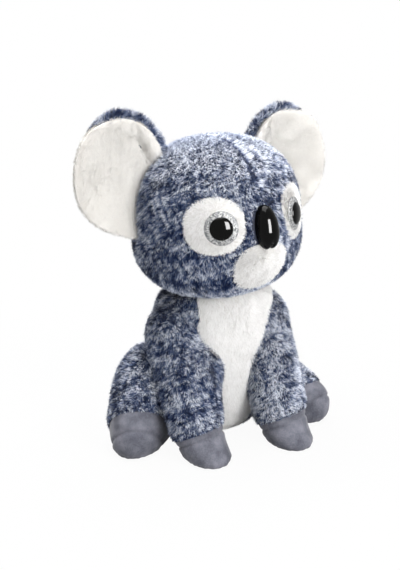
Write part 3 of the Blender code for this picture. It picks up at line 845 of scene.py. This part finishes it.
class KoalaFur(bpy.types.PropertyGroup):
    """Sizes and colours of the long fur."""
    pile_length: FloatProperty(name="Pile length", description="Length of the longest fur",
                               default=0.0047, unit="LENGTH", precision=4)
    blade_width: FloatProperty(name="Blade width", description="Width of one blade of fur",
                               default=0.00036, unit="LENGTH", precision=5)
    blades_per_cm2: FloatProperty(name="Blades per square centimetre",
                                  description="How thickly the fur grows", default=280.0)
    root_colour: FloatVectorProperty(name="Root colour", description="Colour of the fur's roots",
                                     subtype="COLOR", default=linear("#142244")[:3])
    tip_colour: FloatVectorProperty(name="Tip colour", description="Colour of the fur's tips",
                                    subtype="COLOR", default=linear("#617195")[:3])


class KoalaPlush(bpy.types.PropertyGroup):
    """Sizes of the white plush on the chest; the face and the ears have a shorter cut."""
    pile_length: FloatProperty(name="Pile length", description="Length of the white pile",
                               default=0.0048, unit="LENGTH", precision=4)
    blade_width: FloatProperty(name="Blade width", description="Width of one blade of pile",
                               default=0.0005, unit="LENGTH", precision=5)
    blades_per_cm2: FloatProperty(name="Blades per square centimetre",
                                  description="How thickly the pile grows", default=280.0)


class KoalaPaws(bpy.types.PropertyGroup):
    """Colour of the velour paws and feet."""
    velour_colour: FloatVectorProperty(name="Velour colour", description="Colour of the velour",
                                       subtype="COLOR", default=linear("#65666f")[:3])


class KoalaStage(bpy.types.PropertyGroup):
    """Light of the studio."""
    key_power: FloatProperty(name="Key light", description="Power of the softbox on the right",
                             default=10.0, unit="POWER")
    top_power: FloatProperty(name="Top light", description="Power of the overhead softbox",
                             default=15.5, unit="POWER")
    glint_power: FloatProperty(name="Window glint", description="Power of the reflected window",
                               default=110.0, unit="POWER")
    ambient: FloatProperty(name="Ambient", description="Light that comes from all round",
                           default=0.50, min=0.0)


materials = {}


def make_materials():
    """One material for each real finish of the toy."""
    fur = bpy.context.scene.koala_fur
    paws = bpy.context.scene.koala_paws
    # Long polyester pile, piece dyed navy with lighter tips, which reads as a cool mottled grey
    materials["fur"] = pile_material(
        "tip_printed_polyester_fur",
        ((0.0, "#070e25"), (0.5, fur.root_colour), (1.0, "#566791")),
        ((0.0, "#122042"), (0.45, fur.tip_colour), (1.0, "#eff3fb")), 0.08, 0.8,
        Roughness=0.85, Sheen_Weight=0.12, Sheen_Roughness=0.5, Specular_IOR_Level=0.0)
    # Knitted backing and the dense roots of the fur, dark because little light gets down there
    materials["backing"] = cloth_material(
        "knitted_fur_backing", ((0.3, "#0d1428"), (0.7, "#222c48")), 0.006, 0.0009, 0.6,
        Specular_IOR_Level=0.2)
    # Short sheared white plush, soft and almost even; a little greyer towards the roots, painted shade
    # between its blades
    materials["plush_pile"] = pile_material(
        "sheared_white_plush",
        ((0.0, "#a5a3a0"), (0.3, "#bebcb8"), (1.0, "#fbfaf8")),
        ((0.0, "#afadaa"), (0.3, "#cac8c4"), (1.0, "#fffefd")), 0.0, 0.6,
        Roughness=0.85, Sheen_Weight=0.2, Sheen_Roughness=0.5, Specular_IOR_Level=0.0)
    materials["plush"] = cloth_material(
        "white_plush_ground", ((0.3, "#e2e0dc"), (0.7, "#eeece8")), 0.010, 0.0007, 0.35,
        Specular_IOR_Level=0.0)
    # The same pile cut shorter on the ear linings, a little warmer
    materials["lining_pile"] = pile_material(
        "short_nap_of_velboa",
        ((0.0, "#ddd9d3"), (1.0, "#f1eeea")),
        ((0.0, "#e2dfda"), (1.0, "#f2f0ec")), 0.0, 0.6,
        Roughness=0.85, Sheen_Weight=0.2, Sheen_Roughness=0.5, Specular_IOR_Level=0.0)
    # Short nap velboa of the ear linings, smooth, with faint pressed patches
    materials["lining"] = cloth_material(
        "short_nap_velboa", ((0.25, "#e3dfd9"), (0.5, "#ebe8e3"), (0.75, "#f1eeea")), 0.014, 0.0006,
        0.15, Sheen_Weight=0.15, Specular_IOR_Level=0.0)
    # Brushed grey velour of the paws, darker where its nap lies away from the light
    materials["velour"] = cloth_material(
        "brushed_grey_velour", ((0.33, "#484953"), (0.5, paws.velour_colour), (0.67, "#7d7d87")), 0.011,
        0.0007, 0.25, Sheen_Weight=0.35, Sheen_Roughness=0.4, Specular_IOR_Level=0.0)
    make_plastics()


def make_plastics():
    """Moulded eyes and nose, and the glitter disc behind each pupil."""
    # High gloss black ABS, with the faint unevenness of a moulded surface
    material, tree, shader = new_material(
        "moulded_black_gloss_abs", Base_Color=linear("#030303"), Roughness=0.06, IOR=1.5,
        Specular_IOR_Level=0.1)
    swell = add_texture(tree, "TexNoise", 0.006, Detail=1.0)
    dust = add_texture(tree, "TexNoise", 0.0007, Detail=4.0)
    rough = add_node(tree, "MapRange", values={1: 0.55, 2: 0.8, 3: 0.05, 4: 0.16}, links={0: dust})
    relief = add_node(tree, "Bump", values={"Strength": 0.04, "Distance": 0.002},
                      links={"Height": swell})
    plug(shader, {"Roughness": rough, "Normal": relief})
    materials["black"] = material
    # Silver glitter under clear lacquer, matt grey as a whole since each flake shines its own way; each
    # flake's random grey tone is painted sparkle, together with its tilted normal.
    # The flakes are drawn 0.9 mm wide, coarser than real ones, so that they show from afar
    material, tree, shader = new_material(
        "silver_glitter_lacquer", Metallic=0.1, Roughness=0.6, Specular_IOR_Level=0.15)
    flakes = add_texture(tree, "TexVoronoi", 0.0009)
    painted_sparkle = add_ramp(tree, flakes.outputs["Color"],
                     ((0.25, "#505153"), (0.5, "#7f8082"), (0.8, "#a9a9a7")))
    lean = add_node(tree, "VectorMath", operation="SUBTRACT", values={1: (0.5, 0.5, 0.5)},
                    links={0: flakes.outputs["Color"]})
    little = add_node(tree, "VectorMath", operation="SCALE", values={"Scale": 0.35}, links={0: lean})
    normal = add_node(tree, "NewGeometry")
    tilted = add_node(tree, "VectorMath", operation="ADD",
                      links={0: normal.outputs["Normal"], 1: little})
    facing = add_node(tree, "VectorMath", operation="NORMALIZE", links={0: tilted})
    plug(shader, {"Base Color": painted_sparkle, "Normal": facing})
    materials["glitter"] = material
    # White nylon of the washers, hidden behind the fabric
    material, tree, shader = new_material("moulded_white_nylon", Roughness=0.5)
    cloud = add_texture(tree, "TexNoise", 0.003)
    shade = add_ramp(tree, cloud, ((0.3, "#d9d9d4"), (0.7, "#e6e6e2")))
    plug(shader, {"Base Color": shade})
    materials["nylon"] = material
    # Loose white fibre of the stuffing, inside the skins
    materials["fibre"] = cloth_material(
        "loose_polyester_fibre", ((0.3, "#dededa"), (0.7, "#f2f2f0")), 0.008, 0.0008, 0.8,
        Specular_IOR_Level=0.2)


def finish_cad_nodes():
    """Gives the CAD pieces that stay their real finish."""
    finish_of = {"washer": "nylon", "stuffing": "fibre"}
    for name, node in frame["nodes"].items():
        for part, finish in finish_of.items():
            if part in name:
                node.data.materials.clear()
                node.data.materials.append(materials[finish])


def face_ovals():
    """Every oval of the face that the fur keeps clear of: side angle, height, size."""
    angle = eye_side_angle + eye_patch_offset
    pads = [(side * angle, eye_up + eye_patch_up, eye_patch_size) for side in (-1, 1)]
    return pads + [(face_side_angle, -chin_drop, chin_size),
                   (face_side_angle, nose_up, (nose_width * 1.05, nose_height))]


def crown_seam(local, width):
    """1 on the middle seam of the crown, fading to 0 beside it and down the forehead."""
    beside = np.exp(-(local[:, 0] / width) ** 2)
    high = np.clip((local[:, 2] - 0.036) / 0.012, 0, 1)
    return beside * high * (local[:, 1] < 0.02)


def comb_head(points, normals):
    """Down and back over the head, parted at the middle seam and turned off the patches."""
    local = to_head(points)
    flow = falling(points, back=0.25)
    crown = np.exp(-((local[:, 2] - head_height / 2) / 0.03) ** 2)
    flow[:, 1] -= crown * 0.9
    flow[:, 0] += crown_seam(local, 0.004) * np.sign(local[:, 0]) * 2.0
    under = np.clip((-0.030 - local[:, 2]) / 0.025, 0, 1)
    inwards = unit_rows(local * (1, 1, 0))
    flow += inwards * (-1.2 * under)[:, None]
    for angle, up, size in face_ovals():
        distance, outwards = oval_distance(points, angle, up, size)
        near = np.exp(-np.maximum(distance - 1, 0) / 0.15) * 0.5
        flow += outwards * near[:, None]
    return flow


def keep_head(points, normals):
    keep = np.ones(len(points), bool)
    uneven = 1 + 0.05 * waves(points, 0.005, 9)
    for angle, up, size in face_ovals():
        keep &= oval_distance(points, angle, up, size)[0] > uneven
    return keep & (crown_seam(to_head(points), 0.0008) < 0.4)


def trim_head(points, normals):
    """Shorter round the eyes, the nose and the mouth."""
    share = np.ones(len(points))
    for angle, up, size in face_ovals():
        distance = oval_distance(points, angle, up, size)[0]
        share *= 1 - 0.25 * np.exp(-np.maximum(distance - 1, 0) / 0.2)
    local = to_head(points)
    return share * (1 - 0.15 * np.clip((-0.035 - local[:, 2]) / 0.02, 0, 1))


def shade_head(points, normals):
    """Painted light on the head's fur: a lighter crown, partly frosted tips and partly painted top
    light; a lighter underside edge, painted light against its shade; and lighter with height, so the
    lower cheeks are darker as painted shade.
    """
    local = to_head(points)
    under = np.clip((-0.040 - local[:, 2]) / 0.012, 0, 1)
    crown = np.clip((local[:, 2] - 0.036) / 0.024, 0, 1)
    # under and crown lighten the fur as painted light; the height term adds painted shade low down
    return (mottled_with_painted_light(points, normals) + 0.45 * under + 0.45 * crown
            + 0.08 * np.clip(local[:, 2] / (head_height / 2), -0.7, 1) - 0.03)


class KOALA_OT_head(bpy.types.Operator):
    """Builds the furred head and the furred neck under it"""
    bl_idname = "koala.make_head"
    bl_label = "Make head"

    def execute(self, context):
        head = form("head_form", body_facets, head_shape, "head", materials["backing"],
                    head_matrix)
        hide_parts("head_skin", "head_stuffing")
        grow_pile("head_fur", head, materials["fur"], fur_pile(), comb_head, keep_head,
                  trim_head, shade_head, seed=11)
        neck = form("neck_form", small_facets, lambda unit: neck_pivot + unit * neck_radius,
                    "neck", materials["backing"])
        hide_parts("neck_stuffing")
        grow_pile("neck_fur", neck, materials["fur"], fur_pile(lean=radians(70)),
                  lambda points, normals: np.array(neck_pivot) - points,
                  lambda points, normals: points[:, 2] > neck_pivot.z, shade=mottled_with_painted_light, seed=15)
        return {"FINISHED"}


class KOALA_OT_face(bpy.types.Operator):
    """Builds the white patches, the eyes and the nose"""
    bl_idname = "koala.make_face"
    bl_label = "Make face"

    def execute(self, context):
        right, left, chin, _ = face_ovals()
        self.make_patch("eye_patch_right", *right, 21)
        self.make_eye(-1, "right")
        self.make_patch("eye_patch_left", *left, 23)
        self.make_eye(1, "left")
        self.make_patch("chin_patch", *chin, 31)
        self.make_nose()
        return {"FINISHED"}

    def make_patch(self, name, angle, up, size, seed):
        is_chin = name == "chin_patch"
        shape = head_patch(angle, up, size, 0.0012, 0.002)
        patch = form(name + "_form", small_facets, shape, "head", materials["plush"],
                     head_matrix)
        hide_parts(name)

        def comb(points, normals):
            distance, outwards = oval_distance(points, angle, up, size)
            return outwards * distance[:, None] + np.array((0, 0, -0.5))

        def outer(points, normals):
            place = head_matrix @ head_frame(angle, up)
            return (normals @ np.array(place.to_3x3())[:, 2]) > 0.55

        def shade(points, normals):
            return 0.40 + 0.06 * waves(points, 0.006, seed) - chin_shadow * is_chin

        def tufted(points, normals):
            edge = np.clip((oval_distance(points, angle, up, size)[0] - 0.75) * 4, 0, 1)
            return 1 + 0.5 * edge * is_chin * (normals[:, 2] < -0.1) - 0.2 * edge
        pile = plush_pile(length=0.0033, per_cm2=330, width=0.0004, lean=radians(54),
                          turn=radians(24), lock=0.0016, lock_turn=radians(16),
                          lock_lean=radians(4), pull=0.35)
        grow_pile(name + "_pile", patch, materials["plush_pile"], pile,
                  comb, outer, tufted, shade, seed=seed)

    def make_eye(self, side, name):
        place = head_matrix @ head_frame(side * eye_side_angle, eye_up)

        def disc(unit):
            radius = iris_radius * (unit.x ** 2 + unit.y ** 2) ** 0.5
            back = iris_seat + 0.0022 - radius ** 2 / (2 * eye_curve_radius)
            lift = 0.0009 * abs(unit.z) ** 0.4
            return Vector((unit.x * iris_radius, unit.y * iris_radius,
                           back + (lift if unit.z > 0 else -lift * 2)))
        iris = form("eye_iris_%s_disc" % name, small_facets, disc, "head", materials["glitter"],
                    place)
        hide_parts("eye_iris_" + name)

        def dome(unit):
            height = pupil_height * unit.z if unit.z > 0 else unit.z * 0.003
            return Vector((unit.x * pupil_radius, unit.y * pupil_radius, iris_seat + 0.0018 + height))
        pupil = form("eye_dome_%s_cap" % name, small_facets, dome, "head", materials["black"],
                     place)
        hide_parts("eye_dome_" + name)

    def make_nose(self):
        place = head_matrix @ head_frame(face_side_angle, nose_up)

        def shape(unit):
            narrowing = 1 - 0.22 * (unit.z + 1) / 2
            proud = -unit.y
            x = nose_width / 2 * signed_power(unit.x, 0.9) * narrowing
            y = nose_height / 2 * unit.z
            z = nose_proud * signed_power(proud, 0.8) if proud > 0 else proud * 0.004
            notch = exp(-(x / 0.0013) ** 2) * smooth_step(-unit.z, 0.66, 0.98)
            fold = exp(-(x / 0.0016) ** 2) * smooth_step(-unit.z, 0.5, 0.8) * 0.0012
            return Vector((x, y + notch * 0.004, z - fold * (proud > 0)))
        nose = form("nose_cap", nose_facets, shape, "head", materials["black"],
                    place)
        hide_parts("nose")


def rim_blue(inner, rise):
    """How much blue edge shows beside the lining: 1 on top and towards the head, 0 low and outside."""
    return smooth_step(0.6 * inner + 0.8 * rise, 0.0, 0.75)


class KOALA_OT_ears(bpy.types.Operator):
    """Builds the cupped ears, white inside and furred behind"""
    bl_idname = "koala.make_ears"
    bl_label = "Make ears"

    def execute(self, context):
        for side, name in sides:
            self.make_ear(side, name)
        return {"FINISHED"}

    def make_ear(self, side, name):
        centre = head_centre + Vector((side * ear_out, ear_back, ear_up - side * ear_lift))

        def place(across, rise, half_thick, deep, forward):
            cup = ear_cup * (across ** 2 + rise ** 2)
            across -= side * ear_lobe_shift * max(0.0, -rise) ** 3.2
            return centre + Vector((
                ear_width / 2 * across,
                half_thick * signed_power(deep, 0.7) - cup - forward,
                ear_height / 2 * rise,
            ))

        def blue_beside(unit):
            run = max((unit.x ** 2 + unit.z ** 2) ** 0.5, 1e-6)
            return rim_blue(-side * unit.x / run, unit.z / run)

        def back_shape(unit):
            reach = 0.95 + 0.02 * blue_beside(unit)
            return place(unit.x * reach, unit.z * reach, ear_thickness * 0.35, unit.y, 0)

        def lining_shape(unit):
            inner = -side * unit.x
            blue = blue_beside(unit)
            reach = ear_lining_reach - ear_blue_share * blue * (1 + 0.6 * max(0.0, inner))
            fold = 0.877 * inner + 0.48 * unit.z
            high = smooth_step(unit.z, 0.05, 0.35)
            flap = smooth_step(fold, 0.68, 0.84) * high * ear_flap_rise
            crease = exp(-((fold - 0.67) / 0.06) ** 2) * ear_crease
            crease *= high * (1 - smooth_step(unit.z, 0.5, 0.75))
            wrinkle = 0.0005 * sin(19 * (unit.z - inner)) * sin(11 * inner + 5 * unit.z)
            wrinkle *= smooth_step(inner, 0.0, 0.5)
            front = (flap - crease + wrinkle) * (unit.y < 0)
            return place(unit.x * reach, unit.z * reach, ear_thickness * 0.30, unit.y,
                         ear_thickness * 0.34 + front)

        back = form("ear_back_%s_form" % name, body_facets, back_shape, "ear_" + name,
                    materials["backing"], head_matrix)
        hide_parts("ear_back_" + name)
        lining = form("ear_lining_%s_form" % name, lining_facets, lining_shape, "ear_" + name,
                      materials["lining"], head_matrix)
        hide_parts("ear_lining_" + name)

        def spread(points):
            """Places in the ear's own half sizes, across towards the head and upwards."""
            local = in_axes(points, head_matrix) - np.array(centre)
            inner = -side * local[:, 0] / (ear_width / 2)
            rise = local[:, 2] / (ear_height / 2)
            return inner, rise, np.maximum(np.hypot(inner, rise), 1e-6)

        def comb(points, normals):
            outwards = points - np.array(head_matrix @ centre)
            return outwards * 20 + np.array((0, 0, -0.25))

        def comb_nap(points, normals):
            run = spread(points)[2]
            outwards = unit_rows(points - np.array(head_matrix @ centre))
            return outwards * (2.5 * run ** 6)[:, None] + np.array((0, 0, -1.0))

        def behind(points, normals):
            inner, rise, run = spread(points)
            out = np.array(head_matrix.to_3x3() @ Vector((0, 1, 0)))
            edge = (run > 0.84) & (0.6 * inner + 0.8 * rise > 0.25)
            return (normals @ out > -0.15) | edge

        def trim(points, normals):
            inner, rise, run = spread(points)
            blue = np.array([rim_blue(a, b) for a, b in zip(inner / run, rise / run)])
            edge = np.clip((run - 0.70) / 0.2, 0, 1)
            return 1 - 0.72 * edge * (1 - blue)

        grow_pile("ear_fur_" + name, back, materials["fur"],
                  fur_pile(length=0.0056, lean=radians(56)), comb, behind, trim, mottled_with_painted_light, seed=41 + side)
        grow_pile("ear_nap_" + name, lining, materials["lining_pile"],
                  plush_pile(length=0.0028, width=0.0004, per_cm2=190, lean=radians(55),
                             lock_lean=radians(2), lock_turn=radians(6), pull=0.0, soft=1.0),
                  comb_nap, seed=45 + side)


class KOALA_OT_torso(bpy.types.Operator):
    """Builds the furred torso and its white chest"""
    bl_idname = "koala.make_torso"
    bl_label = "Make torso"

    def execute(self, context):
        torso = form("torso_form", body_facets, torso_shape, "torso", materials["backing"])
        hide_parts("torso_skin", "torso_stuffing")

        def off_chest(points, normals):
            front = (points[:, 1] < torso_back) & (normals[:, 1] < 0.2)
            beside = np.abs(points[:, 0] - chest_middle(points[:, 2]))
            return ~(front & (beside < chest_half_width(points[:, 2])))

        grow_pile("torso_fur", torso, materials["fur"], fur_pile(),
                  lambda points, normals: falling(points, points[:, 0] * 4),
                  off_chest, None, mottled_with_painted_light, seed=51)
        self.make_chest()
        return {"FINISHED"}

    def make_chest(self):
        """White panel, a thin pad whose edges are drawn down into the seam."""
        columns, rows = chest_facets
        mesh = bmesh.new()
        grid = []
        for i in range(rows + 1):
            z = chest_bottom_up + (chest_top_up - chest_bottom_up) * i / rows
            grid.append([])
            for j in range(columns + 1):
                across = 2 * j / columns - 1
                point = torso_front(float(chest_middle(z)) + float(chest_half_width(z)) * across, z)
                edge = min(1 - abs(across), i / rows * 2, (1 - i / rows) * 2)
                point.y -= 0.0016 * smooth_step(edge, 0, 0.12) - 0.0004
                grid[-1].append(mesh.verts.new(point))
        for low, high in zip(grid, grid[1:]):
            for j in range(columns):
                mesh.faces.new((low[j], low[j + 1], high[j + 1], high[j]))
        bmesh.ops.recalc_face_normals(mesh, faces=mesh.faces)
        data = smooth_mesh("chest_form", mesh)
        chest = new_piece("chest_form", data, "torso", materials["plush"])
        wall = chest.modifiers.new("thickness", "SOLIDIFY")
        wall.thickness = 0.002
        wall.offset = -1
        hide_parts("chest_panel")
        if chest.data.polygons[0].normal.y > 0:
            chest.data.flip_normals()

        grow_pile("chest_pile", chest, materials["plush_pile"],
                  plush_pile(lean=radians(58), swirl=radians(18), lock_tone=0.03, pull=0.05,
                             soft=1.0, tone_spread=0.07),
                  lambda points, normals: falling(points, points[:, 0] * 8),
                  shade=lambda points, normals: 0.4, seed=55)


def make_limb(words, name, shape, seam, up, drop, comb, shade, seed, parting=None):
    """Furred upper part and velour end of a limb, sewn together at a seam's plane."""
    limb, upper, end = words
    body = limb + "_" + name
    top = form("%s_form_%s" % (upper, name), body_facets, shape, body, materials["backing"],
               cut=(seam, up, True))
    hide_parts("%s_skin_%s" % (limb, name), "%s_stuffing_%s" % (limb, name))

    def keep(points, normals):
        above = plane_side(points, seam, up) > seam_gap
        return above if parting is None else above & ~parting(points, normals)

    def trim(points, normals):
        return seam_trim(points, seam, up)
    grow_pile("%s_fur_%s" % (limb, name), top, materials["fur"], fur_pile(), comb,
              keep, trim, shade, seed=seed)
    tip = form("%s_form_%s" % (end, name), paw_facets, gathered(shape, seam, up, drop), body,
               materials["velour"], cut=(seam, up, False))
    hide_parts(end + "_" + name)


class KOALA_OT_arms(bpy.types.Operator):
    """Builds the front limbs: furred sleeves and velour paws"""
    bl_idname = "koala.make_arms"
    bl_label = "Make arms"

    def execute(self, context):
        for side, name in sides:
            self.make_arm(side, name)
        return {"FINISHED"}

    def make_arm(self, side, name):
        cuff = Vector((side * paw_out, -paw_forward, cuff_up))
        up = Matrix.Rotation(cuff_roll, 3, "Y") @ Matrix.Rotation(cuff_slope, 3, "X") @ Vector((0, 0, 1))

        def beside_seam(points):
            """Distance across the arm from its front seam, large where there is none."""
            middle = side * paw_out + arm_seam_out + (shoulder.z - points[:, 2]) * arm_seam_lean
            return np.where(points[:, 2] < arm_seam_tops[side > 0], points[:, 0] - middle, 1.0)

        def parting(points, normals):
            return (np.abs(beside_seam(points)) < 0.0007) & (normals[:, 1] < 0)

        def comb(points, normals):
            across = beside_seam(points)
            return falling(points, np.sign(across) * np.exp(-(across / 0.003) ** 2) * 1.4, -0.45)

        def shade(points, normals):
            # The left arm's fur is lightened as painted light
            return mottled_with_painted_light(points, normals) + left_arm_painted_light * (side > 0)
        make_limb(("arm", "sleeve", "paw"), name, arm_shape(side), cuff, up, paw_seam_drop, comb,
                  shade, 61 + side, parting)


class KOALA_OT_legs(bpy.types.Operator):
    """Builds the hind limbs: furred haunches and velour feet"""
    bl_idname = "koala.make_legs"
    bl_label = "Make legs"

    def execute(self, context):
        for side, name in sides:
            self.make_leg(side, name)
        return {"FINISHED"}

    def make_leg(self, side, name):
        seam = Vector((side * foot.x, foot.y, foot_radius))
        axes = (Matrix.Rotation(side * foot_seam_turn, 3, "Z")
                @ Matrix.Rotation(-foot_seam_slope, 3, "X"))

        def comb(points, normals):
            return falling(points, side * 0.3, -0.35)
        make_limb(("leg", "haunch", "foot"), name, leg_shape(side), seam, axes @ Vector((0, 0, 1)),
                  foot_seam_drop, comb, mottled_with_painted_light, 71 + side)


class KOALA_OT_stage(bpy.types.Operator):
    """Builds the pale floor, the studio light and the camera"""
    bl_idname = "koala.make_stage"
    bl_label = "Make stage"

    def execute(self, context):
        stage = context.scene.koala_stage
        self.make_camera(context)
        self.make_floor()
        self.make_world(context, stage.ambient)
        centre = (cad_low + cad_high) / 2
        key = self.make_softbox("key_light", centre + Vector((0.28, -1.06, 0.27)), centre, 0.5, 0.6,
                                stage.key_power)
        key.visible_glossy = False
        self.make_softbox("top_light", centre + Vector((-0.05, 0.08, 0.78)), centre, 0.9, 0.7,
                          stage.top_power)
        # A window that shows only as the bright patch in the eyes and on the nose
        window = self.make_softbox("window_glint", centre + Vector((0.06, -1.11, 0.29)), centre,
                                   0.50, 0.72, stage.glint_power)
        window.visible_diffuse = False
        return {"FINISHED"}

    def make_camera(self, context):
        data = bpy.data.cameras.new("camera")
        data.sensor_width = sensor_size
        data.lens = camera_focal_px * sensor_size / picture_height
        camera = bpy.data.objects.new("camera", data)
        context.scene.collection.objects.link(camera)
        back = Vector((sin(camera_azimuth) * cos(camera_elevation),
                       -cos(camera_azimuth) * cos(camera_elevation), sin(camera_elevation)))
        camera.location = camera_target + back * camera_distance
        camera.rotation_euler = (-back).to_track_quat("-Z", "Y").to_euler()
        data.clip_start = camera_distance / 50
        data.clip_end = camera_distance * 50
        context.scene.camera = camera

    def make_floor(self):
        mesh = bmesh.new()
        bmesh.ops.create_grid(mesh, x_segments=4, y_segments=4, size=3.0)
        data = smooth_mesh("floor", mesh)
        floor = bpy.data.objects.new("floor", data)
        bpy.context.scene.collection.objects.link(floor)
        # Matt white sweep that shows white to the camera and still holds a faint shadow
        material, tree, shader = new_material("painted_white_sweep", Base_Color=linear("#b8b8b8"),
                                              Roughness=0.9, Specular_IOR_Level=0.1)
        seen = direct_ray(tree)
        glow = add_node(tree, "Emission", values={"Color": (1, 1, 1, 1), "Strength": 1.0})
        place = add_node(tree, "TexCoord")
        away = add_node(tree, "VectorMath", operation="LENGTH", links={0: place.outputs["Object"]})
        white = add_node(tree, "MapRange", interpolation_type="SMOOTHSTEP",
                         values={1: 0.12, 2: 0.45, 3: 0.95, 4: 1.0}, links={0: away.outputs["Value"]})
        share = add_node(tree, "Math", operation="MULTIPLY", links={0: seen, 1: white})
        both = add_node(tree, "MixShader", links={0: share, 1: shader, 2: glow})
        plug(tree.nodes["Material Output"], {"Surface": both})
        data.materials.append(material)

    def make_world(self, context, ambient):
        world = bpy.data.worlds.new("studio")
        context.scene.world = world
        world.use_nodes = True
        tree = world.node_tree
        tree.nodes.clear()
        seen = direct_ray(tree)
        strength = add_node(tree, "MapRange", values={3: ambient, 4: 1.0}, links={0: seen})
        light = add_node(tree, "Background", values={"Color": (1, 1, 1, 1)},
                         links={"Strength": strength})
        add_node(tree, "OutputWorld", links={"Surface": light})

    def make_softbox(self, name, place, target, width, height, power):
        data = bpy.data.lights.new(name, "AREA")
        data.shape = "RECTANGLE"
        data.size = width
        data.size_y = height
        data.energy = power
        light = bpy.data.objects.new(name, data)
        bpy.context.scene.collection.objects.link(light)
        light.location = place
        light.rotation_euler = (target - place).to_track_quat("-Z", "Y").to_euler()
        return light


def direct_ray(tree):
    """1 for rays that come straight from the camera, a reflection or through clear plastic."""
    path = add_node(tree, "LightPath")
    first = add_node(tree, "Math", operation="MAXIMUM",
                     links={0: path.outputs["Is Camera Ray"], 1: path.outputs["Is Glossy Ray"]})
    return add_node(tree, "Math", operation="MAXIMUM",
                    links={0: first, 1: path.outputs["Is Transmission Ray"]})


class KOALA_PT_panel(bpy.types.Panel):
    """Lists the koala's pieces"""
    bl_idname = "KOALA_PT_panel"
    bl_label = "Plush koala"
    bl_space_type = "VIEW_3D"
    bl_region_type = "UI"
    bl_category = "Koala"

    def draw(self, context):
        column = self.layout.column()
        for operator in operators:
            column.operator(operator.bl_idname)
        for key in groups:
            group = getattr(context.scene, key)
            box = self.layout.box()
            for name in group.__annotations__:
                box.prop(group, name)


operators = (KOALA_OT_head, KOALA_OT_face, KOALA_OT_ears, KOALA_OT_torso, KOALA_OT_arms,
             KOALA_OT_legs, KOALA_OT_stage)
groups = {"koala_fur": KoalaFur, "koala_plush": KoalaPlush, "koala_paws": KoalaPaws,
          "koala_stage": KoalaStage}


def register():
    for group in groups.values():
        bpy.utils.register_class(group)
    for name, group in groups.items():
        setattr(bpy.types.Scene, name, PointerProperty(type=group))
    for operator in operators:
        bpy.utils.register_class(operator)
    bpy.utils.register_class(KOALA_PT_panel)


def unregister():
    bpy.utils.unregister_class(KOALA_PT_panel)
    for operator in reversed(operators):
        bpy.utils.unregister_class(operator)
    for name, group in groups.items():
        delattr(bpy.types.Scene, name)
        bpy.utils.unregister_class(group)


def main():
    register()
    make_materials()
    finish_cad_nodes()
    bpy.context.scene.view_settings.view_transform = "Standard"
    for operator in operators:
        category, action = operator.bl_idname.split(".")
        getattr(getattr(bpy.ops, category), action)()


if __name__ == "__main__":
    main()
